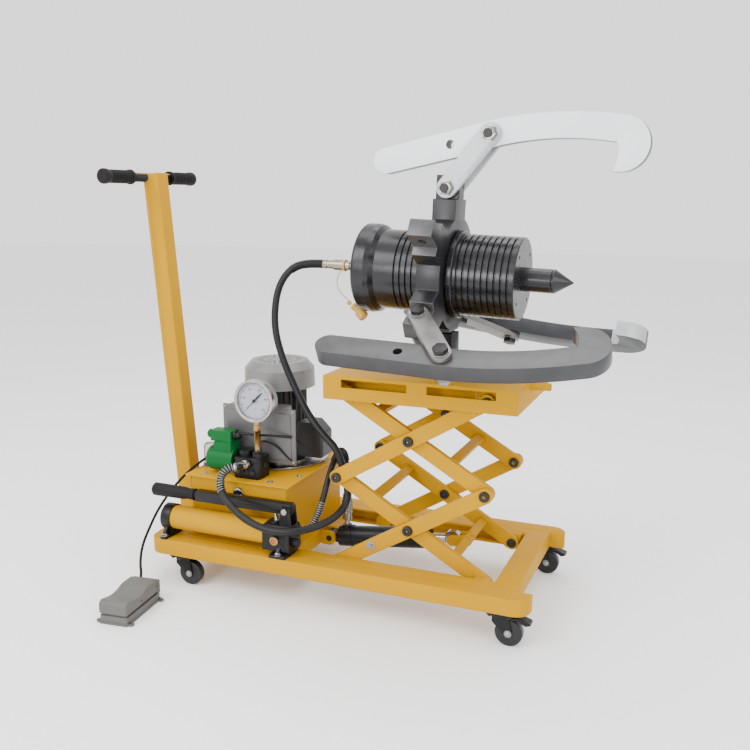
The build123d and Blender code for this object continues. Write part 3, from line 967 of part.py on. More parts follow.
with BuildPart() as foot_pedal:
    with BuildSketch(Plane(origin=switch_axis.origin, x_dir=switch_axis.y_dir,
                           z_dir=switch_axis.x_dir)):
        with BuildLine():
            Line((pedal_front, SKIRT_LOW), (pedal_front, PEDAL_HIGH - 10))
            ThreePointArc((pedal_front, PEDAL_HIGH - 10), (pedal_front + 4, PEDAL_HIGH - 3),
                          (pedal_front + 14, PEDAL_HIGH - 1))
            Spline((pedal_front + 14, PEDAL_HIGH - 1), (-20, PEDAL_DIP + 3), (6, PEDAL_HIGH - 4),
                   (28, PEDAL_HIGH + 1), tangents=((1, -0.2), (1, 0.05)))
            Line((28, PEDAL_HIGH + 1), (pedal_back, PEDAL_HIGH + 1))
            Line((pedal_back, PEDAL_HIGH + 1), (pedal_back, SKIRT_LOW))
            Line((pedal_back, SKIRT_LOW), (pedal_front, SKIRT_LOW))
        make_face()
    extrude(amount=half_wide - 3, both=True)
    with BuildSketch(switch_axis.offset(SKIRT_LOW)):
        with Locations((0, (pedal_front + pedal_back) / 2)):
            Rectangle(SWITCH_WIDE - 6 - 2 * SHELL_WALL, pedal_back - pedal_front - 2 * SHELL_WALL)
    extrude(amount=PEDAL_DIP - SKIRT_LOW - 4, mode=Mode.SUBTRACT)
    disc(hinge_end.offset(3), HINGE_R, SWITCH_WIDE - 6)
write(foot_pedal.part, "foot_pedal")

# ---------------------------------------------------------------- hoses and the switch cord
CORD_EXIT = Vector(BOX_X0 - GLAND_LONG, GLAND_Y, GLAND_Z)
HOSE_MEET = Vector(PINS["left"][0], -110.0, PINS["left"][1])    # on the scissor's left pin line
MEET_DIR = Vector(16, -5, -48).normalized()
END_AIR, CORD_AIR = 0.7, 2.0                # hose ends stop this short of what they meet
hose_start = PULLER + AXIS * (COUPLER_END - END_AIR)
valve_port = (PORT_X, PORT_FACE - END_AIR, PORT_Z)
switch_gland = switch_axis.from_local_coords(Vector(CORD_SIDE, half_long - 2 + CORD_AIR, CORD_Z))


def from_base(points):
    """Points given from the middle of the base."""
    return [(BASE_X + x, y, z) for x, y, z in points]


flexible([tuple(hose_start)] + from_base([
    (-132, -2, 817), (-178, -9, 807), (-208, -18, 772), (-220, -30, 722), (-216, -45, 650),
    (-186, -62, 580), (-146, -77, 515), (-102, -91, 450), (-54, -100, 402), (-13, -104.5, 370)])
    + [tuple(HOSE_MEET - MEET_DIR * END_AIR)], HOSE_R, "puller_hose_upper")
flexible([tuple(HOSE_MEET + MEET_DIR * END_AIR)] + from_base([
    (20, -115, 272), (19, -138, 238), (2, -174, 216), (-28, -212, 205), (-72, -240, 197),
    (-128, -251, 196), (-186, -252, 211), (-236, -242, 236), (-272, -228, 262), (-288, -213, 293),
    (-275, -199, 320), (-246, -184, 322)]) + [valve_port], HOSE_R, "puller_hose_lower")
flexible([(HEAD_RIGHT + OUTLET_LONG + END_AIR, OUTLET_Y, OUTLET_Z)] + from_base([
    (-60, -180, 182), (-42, -172, 210), (-31, -152, 262), (-30, -120, 314), (-31, -76, 346)])
    + [(coupler_foot.X - 1, -34, 350), (coupler_foot.X, -4, 322),
       (coupler_foot.X, 0, height + END_AIR)], RAM_HOSE_R, "ram_hose")
flexible([tuple(CORD_EXIT - Vector(END_AIR, 0, 0))] + from_base([
    (-387, -46, 322), (-401, -72, 306), (-418, -108, 291), (-438, -146, 266), (-468, -162, 228),
    (-500, -178, 178), (-518, -198, 128), (-516, -234, 92), (-500, -267, 62), (-477, -293, 43)])
    + [tuple(switch_gland)], CORD_R, "switch_cord")
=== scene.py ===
"""Looks of the trolley-mounted hydraulic puller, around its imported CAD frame, in metres with +Z up.

Points and sizes of pieces are written in mm and MM turns them into metres. The camera, the lights and the
points that hold the hoses are written in metres.
"""

import json
from math import cos, pi, radians, sin

import bmesh
import bpy
from mathutils import Matrix, Vector

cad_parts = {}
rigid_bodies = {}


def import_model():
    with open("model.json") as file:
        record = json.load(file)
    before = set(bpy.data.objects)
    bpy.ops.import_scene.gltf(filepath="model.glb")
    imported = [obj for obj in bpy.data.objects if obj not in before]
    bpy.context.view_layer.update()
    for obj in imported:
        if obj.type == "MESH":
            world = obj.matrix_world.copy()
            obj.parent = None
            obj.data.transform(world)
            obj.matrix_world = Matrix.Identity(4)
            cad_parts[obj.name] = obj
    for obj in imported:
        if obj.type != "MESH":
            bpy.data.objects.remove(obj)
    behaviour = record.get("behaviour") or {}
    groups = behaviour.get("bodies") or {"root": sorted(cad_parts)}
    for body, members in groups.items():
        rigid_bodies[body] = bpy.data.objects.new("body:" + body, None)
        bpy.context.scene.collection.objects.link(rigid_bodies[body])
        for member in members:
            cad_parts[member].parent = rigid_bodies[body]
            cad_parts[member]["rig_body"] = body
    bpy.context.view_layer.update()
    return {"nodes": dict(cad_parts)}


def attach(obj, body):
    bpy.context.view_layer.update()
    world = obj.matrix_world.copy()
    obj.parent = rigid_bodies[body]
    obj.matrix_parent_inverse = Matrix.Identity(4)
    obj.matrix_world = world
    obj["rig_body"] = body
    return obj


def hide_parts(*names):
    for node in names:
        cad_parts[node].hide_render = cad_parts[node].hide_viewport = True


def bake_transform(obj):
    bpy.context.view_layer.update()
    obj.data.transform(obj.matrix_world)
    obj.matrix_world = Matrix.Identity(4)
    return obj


for extra in list(bpy.data.objects):
    bpy.data.objects.remove(extra)
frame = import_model()
NODES = frame["nodes"]
MM = 0.001
BASE_X = -20.0                      # middle of the base along X, mm
FRONT, NEAR, FAR, UP = (1, 0, 0), (0, -1, 0), (0, 1, 0), (0, 0, 1)


# ------------------------------------------------------------------ materials
MOTTLE_FROM, MOTTLE_TO = 0.3, 0.72  # noise values between which the two tones blend
MOTTLE_DETAIL, GRAIN_DETAIL = 5, 3
EDGE_SAMPLES = 4
GRAIN_DEPTH = 0.0004                # m
LEAST_GRAIN, LEAST_ROUGH = 0.03, 0.02


def material(name, color, rough, metallic=0.0, vary=0.12, scale=9.0, grain=0.0, grain_scale=900.0,
             rough_vary=0.08, edge=1.0, shine=0.5, stretch=(1, 1, 1)):
    """Painted, moulded or bare surface: mottled colour, uneven gloss, fine grain and soft edges."""
    mat = bpy.data.materials.new(name)
    mat.use_nodes = True
    tree = mat.node_tree
    nodes, link = tree.nodes, tree.links.new
    shader = nodes["Principled BSDF"]
    place = nodes.new("ShaderNodeTexCoord")
    mapping = nodes.new("ShaderNodeMapping")
    mapping.inputs["Scale"].default_value = stretch
    link(place.outputs["Object"], mapping.inputs["Vector"])
    cloud = nodes.new("ShaderNodeTexNoise")
    cloud.inputs["Scale"].default_value = scale
    cloud.inputs["Detail"].default_value = MOTTLE_DETAIL
    link(mapping.outputs["Vector"], cloud.inputs["Vector"])
    tint = nodes.new("ShaderNodeValToRGB")
    low, high = tint.color_ramp.elements[0], tint.color_ramp.elements[1]
    low.position = MOTTLE_FROM
    high.position = MOTTLE_TO
    low.color = (*[c * (1 - vary) for c in color], 1)
    high.color = (*[min(1, c * (1 + vary)) for c in color], 1)
    link(cloud.outputs["Fac"], tint.inputs["Fac"])
    link(tint.outputs["Color"], shader.inputs["Base Color"])
    fine = nodes.new("ShaderNodeTexNoise")
    fine.inputs["Scale"].default_value = grain_scale
    fine.inputs["Detail"].default_value = GRAIN_DETAIL
    link(mapping.outputs["Vector"], fine.inputs["Vector"])
    gloss = nodes.new("ShaderNodeMapRange")
    gloss.inputs["To Min"].default_value = max(LEAST_ROUGH, rough - rough_vary)
    gloss.inputs["To Max"].default_value = min(1, rough + rough_vary)
    link(cloud.outputs["Fac"], gloss.inputs["Value"])
    link(gloss.outputs["Result"], shader.inputs["Roughness"])
    soft = nodes.new("ShaderNodeBevel")
    soft.samples = EDGE_SAMPLES
    soft.inputs["Radius"].default_value = edge * MM
    bump = nodes.new("ShaderNodeBump")
    bump.inputs["Strength"].default_value = max(LEAST_GRAIN, grain)
    bump.inputs["Distance"].default_value = GRAIN_DEPTH
    link(fine.outputs["Fac"], bump.inputs["Height"])
    link(soft.outputs["Normal"], bump.inputs["Normal"])
    link(bump.outputs["Normal"], shader.inputs["Normal"])
    shader.inputs["Metallic"].default_value = metallic
    shader.inputs["Specular IOR Level"].default_value = shine
    return mat


YELLOW = material("amber_paint", (0.45, 0.225, 0.001), 0.42, vary=0.05, scale=5, grain=0.06,
                  grain_scale=420, edge=1.2, shine=0.05)
BLACK = material("black_paint", (0.005, 0.005, 0.0055), 0.36, vary=0.3, grain=0.08, grain_scale=600,
                 shine=0.25)
BLUED = material("blued_steel", (0.013, 0.013, 0.015), 0.27, 0.35, vary=0.35, scale=16, grain=0.12,
                 grain_scale=300, rough_vary=0.09, stretch=(1, 4, 4), edge=0.6)
YOKE = material("yoke_steel", (0.014, 0.014, 0.016), 0.36, 0.3, vary=0.4, scale=12, grain=0.2,
                grain_scale=350, rough_vary=0.12, edge=1.4)
# painted highlight: a lighter, more metallic copy of the yoke's steel, put on its near lug to stand in for a
# glint of light
LUG_HIGHLIGHT = material("lug_painted_highlight", (0.085, 0.085, 0.088), 0.42, 0.6, vary=0.25, scale=14, grain=0.15,
               grain_scale=350, edge=1.2)
JAW = material("forged_zinc", (0.086, 0.086, 0.087), 0.42, 0.7, vary=0.14, scale=34, grain=0.16,
               grain_scale=420, rough_vary=0.10, edge=1.5)
# painted shade: a darker copy of the jaws' zinc, put on their edges and on faces that turn away from the
# light
ZINC_PAINTED_SHADE = material("zinc_painted_shade", (0.052, 0.053, 0.056), 0.36, 0.7, vary=0.12, scale=20, grain=0.1,
                    grain_scale=420, edge=1.5)
# painted shade: the far jaw is the same zinc as the near one, made darker for the shade it stands in
JAW_FAR_SHADED = material("far_zinc_painted_shade", (0.05, 0.052, 0.056), 0.38, 0.7, vary=0.14, scale=20, grain=0.15,
                   grain_scale=420, edge=1.5)
# painted light: the top jaw's flat faces are painted near white for the bright surroundings they mirror, not
# for the zinc's own colour
ZINC_PAINTED_LIGHT = material("zinc_painted_light", (0.74, 0.77, 0.79), 0.5, 0.1, vary=0.03, scale=14, grain=0.1,
                   grain_scale=500, edge=1.5)
# painted light: a lighter copy of the links' zinc, on the top link and on the far jaw's hook where it faces
# up
LINK_PAINTED_LIGHT = material("link_painted_light", (0.42, 0.44, 0.45), 0.45, 0.5, vary=0.06, scale=24, grain=0.12, edge=1.2)
LINK = material("link_zinc", (0.17, 0.163, 0.16), 0.38, 0.7, vary=0.2, scale=24, grain=0.15, edge=1.2)
ZINC = material("zinc_plate", (0.30, 0.30, 0.29), 0.33, 0.85, vary=0.15, scale=60, grain=0.12, edge=0.4)
ZINC_DULL = material("dull_zinc", (0.11, 0.105, 0.10), 0.42, 0.7, vary=0.25, scale=80, grain=0.15, edge=0.3)
STEEL = material("turned_steel", (0.36, 0.355, 0.34), 0.22, 0.95, vary=0.12, scale=50, rough_vary=0.06,
                 edge=0.4)
OLIVE = material("passivated_steel", (0.30, 0.255, 0.20), 0.28, 0.9, vary=0.2, scale=50, edge=0.4)
DARK_BOLT = material("dark_bolt", (0.018, 0.017, 0.017), 0.42, 0.5, vary=0.35, scale=60, grain=0.15, edge=0.5)
CHROME = material("polished_steel", (0.42, 0.41, 0.40), 0.16, 1.0, vary=0.06, rough_vary=0.05, edge=0.6)
BRASS = material("brass", (0.34, 0.22, 0.09), 0.28, 1.0, vary=0.15, scale=40, edge=0.3)
COVER_GREY = material("cover_paint", (0.175, 0.171, 0.168), 0.42, 0.3, vary=0.08, grain=0.12, grain_scale=500,
                      edge=1.5)
MOTOR = material("motor_casting", (0.03, 0.031, 0.032), 0.5, 0.3, vary=0.3, scale=20, grain=0.3,
                 grain_scale=350, edge=0.5)
BOX_GREY = material("box_casting", (0.105, 0.102, 0.099), 0.40, 0.3, vary=0.08, scale=14, grain=0.18,
                    grain_scale=500, edge=1.6)
GREEN = material("green_coil", (0.002, 0.095, 0.020), 0.42, vary=0.12, grain=0.05, edge=1.6, shine=0.12)
RUBBER = material("black_rubber", (0.007, 0.006, 0.006), 0.55, vary=0.3, grain=0.25, grain_scale=300,
                  edge=0.8, shine=0.16)
HOSE = material("hose_rubber", (0.009, 0.009, 0.010), 0.36, vary=0.25, scale=30, grain=0.3, grain_scale=700,
                edge=0.2, shine=0.2)
TYRE = material("caster_tread", (0.007, 0.007, 0.008), 0.42, vary=0.25, grain=0.15, edge=1.0, shine=0.4)
HUB_GREY = material("hub_grey", (0.20, 0.20, 0.20), 0.45, 0.3, vary=0.1, scale=60, grain=0.1)
SWITCH_GREY = material("switch_grey", (0.098, 0.096, 0.089), 0.6, vary=0.08, scale=25, grain=0.5,
                       grain_scale=260, edge=1.5, shine=0.3)
DIAL = material("dial_white", (0.36, 0.36, 0.40), 0.5, vary=0.02, edge=0.1, shine=0.2)
INK = material("dial_ink", (0.012, 0.012, 0.015), 0.5, vary=0.2, edge=0.05, shine=0.2)
RED = material("dial_red", (0.42, 0.02, 0.02), 0.5, vary=0.15, edge=0.05, shine=0.2)
CAP_YELLOW = material("cap_plastic", (0.48, 0.27, 0.03), 0.42, vary=0.1, scale=40, grain=0.08, edge=0.8,
                      shine=0.35)
ORANGE = material("orange_plug", (0.38, 0.06, 0.006), 0.4, vary=0.15, scale=60, edge=0.4)


def clear(name, color, rough, alpha=1.0):
    """Thin transparent moulding."""
    mat = material(name, color, rough, vary=0.03, edge=0.2)
    shader = mat.node_tree.nodes["Principled BSDF"]
    shader.inputs["Transmission Weight"].default_value = 0.9
    shader.inputs["IOR"].default_value = 1.3
    shader.inputs["Alpha"].default_value = alpha
    return mat


GLASS = clear("gauge_glass", (0.97, 0.98, 1.0), 0.03, alpha=0.12)
MILKY = clear("breather_plastic", (0.60, 0.54, 0.53), 0.35)


# ------------------------------------------------------------------ mesh helpers
SMOOTH_UNDER, TUBE_SMOOTH_UNDER, DRESSED_SMOOTH_UNDER = 35, 60, 32      # degrees between faces
ON_AXIS = 1e-6                      # mm, a radius that counts as none


def add(name, bm, mat, body, smooth=SMOOTH_UNDER):
    """Object from a bmesh, shaded smooth up to an angle, riding on a body."""
    mesh = bpy.data.meshes.new(name)
    bm.normal_update()
    bm.to_mesh(mesh)
    bm.free()
    return add_mesh(name, mesh, mat, body, smooth)


def add_mesh(name, mesh, mat, body, smooth=SMOOTH_UNDER):
    """Object from a mesh and one material or a list; with a body of None it rides on no body."""
    obj = bpy.data.objects.new(name, mesh)
    bpy.context.scene.collection.objects.link(obj)
    for m in (mat if isinstance(mat, (list, tuple)) else [mat]):
        mesh.materials.append(m)
    mesh.shade_smooth()
    mesh.set_sharp_from_angle(angle=radians(smooth))
    if body:
        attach(obj, body)
    return obj


def basis(axis, roll=None):
    """Rotation that takes +Z to an axis and +X as near roll as it can be."""
    z = Vector(axis).normalized()
    x = Vector(roll or (UP if abs(z.z) < 0.9 else FRONT))
    x = (x - z * x.dot(z)).normalized()
    return Matrix((x, z.cross(x), z)).transposed().to_4x4()


def at(point, axis, roll=None):
    """Place with its origin at a point in mm and +Z along an axis."""
    return Matrix.Translation(Vector(point) * MM) @ basis(axis, roll)


def lathe(bm, profile, where, segments=48):
    """Turned solid: profile points are (radius, height) in mm about the place's +Z."""
    rings = []
    for r, h in profile:
        if r < ON_AXIS:
            rings.append([bm.verts.new(where @ Vector((0, 0, h * MM)))])
            continue
        turns = [2 * pi * k / segments for k in range(segments)]
        rings.append([bm.verts.new(where @ Vector((r * MM * cos(a), r * MM * sin(a), h * MM)))
                      for a in turns])
    for a, b in zip(rings, rings[1:]):
        for k in range(segments):
            j = (k + 1) % segments
            if len(a) == 1 and len(b) == 1:
                continue
            if len(a) == 1:
                bm.faces.new((a[0], b[j], b[k]))
            elif len(b) == 1:
                bm.faces.new((a[k], a[j], b[0]))
            else:
                bm.faces.new((a[k], a[j], b[j], b[k]))


def prism(bm, outline, where, height, inset=0.0):
    """Extruded outline in mm, with its top edge bevelled by inset."""
    levels = [(0.0, 0.0), (height - inset, 0.0)] + ([(height, inset)] if inset else [])
    centre = Vector((sum(p[0] for p in outline), sum(p[1] for p in outline))) / len(outline)
    rings = []
    for h, shrink in levels:
        ring = []
        for p in outline:
            q = Vector(p)
            if shrink:
                q = q - (q - centre).normalized() * shrink
            ring.append(bm.verts.new(where @ Vector((q.x * MM, q.y * MM, h * MM))))
        rings.append(ring)
    n = len(outline)
    for a, b in zip(rings, rings[1:]):
        for k in range(n):
            bm.faces.new((a[k], a[(k + 1) % n], b[(k + 1) % n], b[k]))
    bm.faces.new(list(reversed(rings[0])))
    bm.faces.new(rings[-1])


def hexagon(flats):
    """Outline of a hexagon of a width across its flats."""
    corner = flats / 3 ** 0.5
    return [(corner * cos(radians(60 * k)), corner * sin(radians(60 * k))) for k in range(6)]


def rounded(x0, x1, y0, y1, r, steps=5):
    """Outline of a rectangle with round corners."""
    points = []
    corners = ((x1 - r, y1 - r), (x0 + r, y1 - r), (x0 + r, y0 + r), (x1 - r, y0 + r))
    for quarter, (cx, cy) in enumerate(corners):
        turns = [radians(90 * quarter + 90 * k / steps) for k in range(steps + 1)]
        points += [(cx + r * cos(a), cy + r * sin(a)) for a in turns]
    return points


def outward(bm):
    """Makes every face's normal point out of its shape."""
    bmesh.ops.recalc_face_normals(bm, faces=bm.faces)


def turned(name, profile, point, axis, mat, body, segments=48):
    """Piece turned about an axis through a point."""
    bm = bmesh.new()
    lathe(bm, profile, at(point, axis), segments)
    outward(bm)
    add(name, bm, mat, body)


def nurbs(name, points, radius=0.0):
    """Curve object of one open NURBS spline through a route's control points in metres."""
    curve = bpy.data.curves.new(name, "CURVE")
    curve.dimensions = "3D"
    curve.resolution_u = 10
    spline = curve.splines.new("NURBS")
    spline.points.add(len(points) - 1)
    for p, xyz in zip(spline.points, points):
        p.co = (*xyz, 1)
    spline.order_u = 3
    spline.use_endpoint_u = True
    curve.bevel_depth = radius
    curve.bevel_resolution = 5
    curve.use_fill_caps = True
    obj = bpy.data.objects.new(name, curve)
    bpy.context.scene.collection.objects.link(obj)
    return obj


def read_mesh(obj):
    """Mesh of a curve or text object, which is then removed."""
    mesh = bpy.data.meshes.new_from_object(obj.evaluated_get(bpy.context.evaluated_depsgraph_get()))
    bpy.data.objects.remove(obj)
    return mesh


def wire(name, points, radius, mat, body):
    """Thin bent wire, cable or rod through control points in mm."""
    mesh = read_mesh(nurbs(name, [Vector(p) * MM for p in points], radius * MM))
    mesh.name = name
    add_mesh(name, mesh, mat, body, TUBE_SMOOTH_UNDER)


WELD = 2e-6                         # m
FLAT_UNDER, SHARP_OVER = radians(1.5), radians(32)
BEVEL_ROOM = 2.2                    # least length of a bevelled edge, in widths of its bevel


def dress(node, mat, bevel, pick=None):
    """Bevelled, smooth-shaded copy of a CAD node; pick(centre, normal) gives a face's material index."""
    mesh = NODES[node].data.copy()
    mesh.materials.clear()
    bm = bmesh.new()
    bm.from_mesh(mesh)
    bmesh.ops.remove_doubles(bm, verts=bm.verts, dist=WELD)
    bmesh.ops.dissolve_limit(bm, angle_limit=FLAT_UNDER, verts=bm.verts, edges=bm.edges)
    if bevel:
        sharp = [e for e in bm.edges if len(e.link_faces) == 2 and e.calc_face_angle(0) > SHARP_OVER
                 and e.calc_length() > BEVEL_ROOM * bevel * MM]
        bmesh.ops.bevel(bm, geom=sharp, offset=bevel * MM, segments=2, profile=0.6, affect="EDGES",
                        clamp_overlap=True)
    if pick:
        for f in bm.faces:
            f.material_index = pick(f.calc_center_median() / MM, f.normal)
    obj = add(f"{node}_shown", bm, mat, NODES[node]["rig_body"], DRESSED_SMOOTH_UNDER)
    obj.data.name = obj.name
    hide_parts(node)


def paint(node, mat):
    """Gives a CAD node that is shown as it is its material."""
    obj = NODES[node]
    obj.data.materials.clear()
    obj.data.materials.append(mat)


# ------------------------------------------------------------------ camera, lights, floor
CAMERA_PLACE = (0.8348, -1.9733, 0.9731)
CAMERA_DOWN, CAMERA_TURN = 11.4, 22.4       # degrees below the horizon, and round from +Y
CAMERA_LENS, CAMERA_SENSOR = 41.8, 36
STUDIO_LIGHT = 1.7
FLOOR_SIZE = 14

camera = bpy.data.objects.new("camera", bpy.data.cameras.new("camera"))
bpy.context.scene.collection.objects.link(camera)
camera.location = CAMERA_PLACE
camera.rotation_euler = (radians(90 - CAMERA_DOWN), 0, radians(CAMERA_TURN))
camera.data.lens = CAMERA_LENS
camera.data.sensor_width = CAMERA_SENSOR
bpy.context.scene.camera = camera

world = bpy.data.worlds.new("studio")
bpy.context.scene.world = world
world.use_nodes = True
world.node_tree.nodes["Background"].inputs["Color"].default_value = (1, 1, 1, 1)
world.node_tree.nodes["Background"].inputs["Strength"].default_value = STUDIO_LIGHT


def area_light(name, place, target, size, power):
    """Square soft light of a size in metres and a power in watts, aimed at a target."""
    lamp = bpy.data.lights.new(name, "AREA")
    lamp.shape = "RECTANGLE"
    lamp.size = size
    lamp.size_y = size
    lamp.energy = power
    obj = bpy.data.objects.new(name, lamp)
    bpy.context.scene.collection.objects.link(obj)
    obj.location = place
    obj.rotation_euler = (Vector(target) - Vector(place)).to_track_quat("-Z", "Y").to_euler()


area_light("key", (-1.6, -2.4, 2.8), (0, 0, 0.5), 1.6, 75)
area_light("front", (-0.55, -2.9, 1.2), (0.2, 0, 0.8), 0.7, 34)
area_light("fill", (2.6, -1.6, 1.8), (0, 0, 0.5), 1.8, 36)
area_light("top", (0.2, 0.4, 3.2), (0, 0, 0.5), 2.2, 60)

bm = bmesh.new()
bmesh.ops.create_grid(bm, x_segments=1, y_segments=1, size=FLOOR_SIZE)
floor_mesh = bpy.data.meshes.new("floor")
bm.to_mesh(floor_mesh)
bm.free()
floor = bpy.data.objects.new("floor", floor_mesh)
bpy.context.scene.collection.objects.link(floor)
FLOOR_WHITE = material("floor_white", (0.93, 0.93, 0.93), 0.9, vary=0.005, grain=0.0, edge=0.0)
floor_mesh.materials.append(FLOOR_WHITE)


# ------------------------------------------------------------------ hoses and the switch cord
def along(points):
    """Route in metres from points in mm."""
    return [Vector(p) * MM for p in points]


def base(points):
    """Points in mm given from the middle of the base."""
    return [(BASE_X + x, y, z) for x, y, z in points]


HOSE_R, RAM_HOSE_R, CORD_R = 9.0, 7.5, 3.5
MEET = (-15.04, -110.0, 317.55)     # where the two pieces of the long hose meet, on the left pin's line
UPPER = along([(-100.4, 0, 814.7)] + base([
    (-132, -2, 817), (-178, -9, 807), (-208, -18, 772), (-220, -30, 722), (-216, -45, 650),
    (-186, -62, 580), (-146, -77, 515), (-102, -91, 450), (-54, -100, 402), (-13, -104.5, 370)]) + [MEET])
LOWER = along([MEET] + base([
    (20, -115, 272), (19, -138, 238), (2, -174, 216), (-28, -212, 205), (-72, -240, 197),
    (-128, -251, 196), (-186, -252, 211), (-236, -242, 236), (-272, -228, 262), (-288, -213, 293),
    (-275, -199, 320), (-246, -184, 322)]) + [(-264, -152.7, 322)])
RAM_ROUTE = along([(-103.3, -180, 180)] + base([
    (-60, -180, 182), (-42, -172, 210), (-31, -152, 262), (-30, -120, 314), (-31, -76, 346)])
    + [(-57.3, -34, 350), (-56.3, -4, 322), (-56.3, 0, 250.2)])
CORD_ROUTE = along([(-387.7, -45, 322)] + base([
    (-387, -46, 322), (-401, -72, 306), (-418, -108, 291), (-438, -146, 266), (-468, -162, 228),
    (-500, -178, 178), (-518, -198, 128), (-516, -234, 92), (-500, -267, 62), (-477, -293, 43)])
    + [(-480.0, -320.5, 38)])


def read_line(points):
    """Centreline that the NURBS spline of a route draws."""
    mesh = read_mesh(nurbs("line", points))
    line = [v.co.copy() for v in mesh.vertices]
    bpy.data.meshes.remove(mesh)
    return line


def hose(name, route, radius, length, bodies, span, node):
    """Hose bent along a route in place of a CAD node, which is hidden."""
    mesh = read_mesh(nurbs(name, route, radius * MM))
    mesh.name = name
    obj = add_mesh(name, mesh, HOSE, None, TUBE_SMOOTH_UNDER)
    read_line(route)
    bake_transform(obj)
    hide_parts(node)


def spring(name, line, start, end, radius, wire_radius, pitch, mat, steps=12):
    """Wire wound round a stretch of a line, start to end in mm from the line's first point."""
    travelled = 0.0
    stations = []
    side = None
    for a, b in zip(line, line[1:]):
        step = (b - a).length / MM
        tangent = (b - a).normalized()
        side = tangent.orthogonal() if side is None else (side - tangent * side.dot(tangent)).normalized()
        stations.append((travelled, step, a, b, tangent, side.normalized()))
        travelled += step
    points = []
    s = start
    while s <= end:
        for t0, step, a, b, tangent, out in stations:
            if t0 <= s <= t0 + step:
                turn = 2 * pi * (s - start) / pitch
                centre = a.lerp(b, (s - t0) / step)
                points.append(centre + (out * cos(turn) + tangent.cross(out) * sin(turn)) * radius * MM)
                break
        s += pitch / steps
    curve = bpy.data.curves.new(name, "CURVE")
    curve.dimensions = "3D"
    poly = curve.splines.new("POLY")
    poly.points.add(len(points) - 1)
    for p, xyz in zip(poly.points, points):
        p.co = (*xyz, 1)
    curve.bevel_depth = wire_radius * MM
    curve.bevel_resolution = 2
    made = bpy.data.objects.new(name, curve)
    bpy.context.scene.collection.objects.link(made)
    obj = add_mesh(name, read_mesh(made), mat, None, TUBE_SMOOTH_UNDER)
    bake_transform(obj)


# the two bodies that hold a hose, and the two points between which it goes over from one to the other
UPPER_HOLD = (("table", "upper_outer"), ((-0.12, 0, 0.80), tuple(Vector(MEET) * MM)))
LOWER_HOLD = (("trolley", "lower_inner"), ((-0.09, -0.22, 0.20), tuple(Vector(MEET) * MM)))
RAM_HOLD = (("trolley", "ram"), ((-0.06, -0.17, 0.20), (-0.055, -0.02, 0.34)))
hose("hose_upper", UPPER, HOSE_R, 0.679, *UPPER_HOLD, "puller_hose_upper")
hose("hose_lower", LOWER, HOSE_R, 0.580, *LOWER_HOLD, "puller_hose_lower")
hose("hose_ram", RAM_ROUTE, RAM_HOSE_R, 0.378, *RAM_HOLD, "ram_hose")
cord = nurbs("cord_to_switch", CORD_ROUTE, CORD_R * MM)
cord.data.materials.append(RUBBER)
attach(cord, "trolley")
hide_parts("switch_cord")

upper_line, lower_line, ram_line = read_line(UPPER), read_line(LOWER), read_line(RAM_ROUTE)
lower_end = lower_line[::-1]
ram_end = ram_line[::-1]
spring("guard_puller", upper_line, 16, 108, 10.2, 1.1, 4.8, DARK_BOLT)
spring("guard_valve", lower_end, 36, 124, 10.2, 1.0, 6.6, ZINC)
spring("guard_pump", ram_line, 24, 100, 8.7, 0.9, 5.4, ZINC)
spring("guard_ram", ram_end, 62, 168, 8.9, 1.2, 5.0, DARK_BOLT)


# ------------------------------------------------------------------ CAD nodes and their finishes
def near_line(point, direction, reach):
    """Test of a face: within reach mm of a line."""
    p, d = Vector(point), Vector(direction).normalized()
    return lambda c: ((c - p) - d * (c - p).dot(d)).length < reach


for node in ("side_rails", "tank"):
    dress(node, YELLOW, 2.0)
for node in ("deck_and_beams", "tank_lid", "table"):
    dress(node, YELLOW, 0.8)
for node in ("lower_outer_arms", "upper_outer_arms", "upper_inner_arms", "lower_inner_arms"):
    dress(node, YELLOW, 1.2)
FIXED_PIN, FIXED_PIN_R, PIN_HALF = (351.64, 0, 100.7), 13, 127
POST_HALF = 24.2                    # the handle's cross bar shows beyond the post's sides
GRIP_END = -393                     # the pump lever's rubber grip ends here along X
base_pin = near_line(FIXED_PIN, FAR, FIXED_PIN_R)
dress("base_channels", [YELLOW, DARK_BOLT], 0.8, lambda c, n: int(base_pin(c) and abs(c.y) < PIN_HALF))
dress("push_handle", [YELLOW, BLACK], 1.2, lambda c, n: int(abs(c.y) > POST_HALF))
dress("terminal_box", BOX_GREY, 1.6)
dress("valve_block", BLACK, 1.2)
dress("solenoid_valve", GREEN, 1.8)
dress("support_post", BLACK, 1.2)
dress("hand_pump_castings", BLACK, 1.4)
dress("pump_lever", [BLACK, RUBBER], 1.0, lambda c, n: int(c.x < GRIP_END))

SPARE_BORE, SPARE_BORE_R = (214.57, 0, 1095.64), 11
HOOK_FROM = 560                     # the far jaw's hook begins here along X
# these also choose which faces of the jaws get painted light and which get painted shade
FACING, HOOK_UP, EDGE_UP = 0.5, 0.1, 0.2    # parts of a face's normal that tell which way it faces
LINKS = {                           # pin through the yoke, pin through the jaw, way to the nuts
    "top": ((210.25, 0, 998.83), (309.24, 0, 1116.80), NEAR),
    "near": ((197.88, -170.61, 703.59), (286.81, -277.82, 637.91), (-0.03627, 0.5, -0.86527)),
    "far": ((197.88, 170.61, 703.59), (302.44, 266.54, 643.77), (0.03627, 0.5, 0.86527)),
}
NEAR_FACE, FAR_FACE = -Vector(LINKS["near"][2]), Vector(LINKS["far"][2])
spare_bore = near_line(SPARE_BORE, FAR, SPARE_BORE_R)


def top_jaw_finish(c, n):
    """0 on the jaw's flat faces, painted near white as painted light, 2 in its spare bore, painted dark as
    painted shade, and 1 on its edges, darker as painted shade.
    """
    if abs(n.y) > FACING:
        return 0
    return 2 if spare_bore(c) else 1


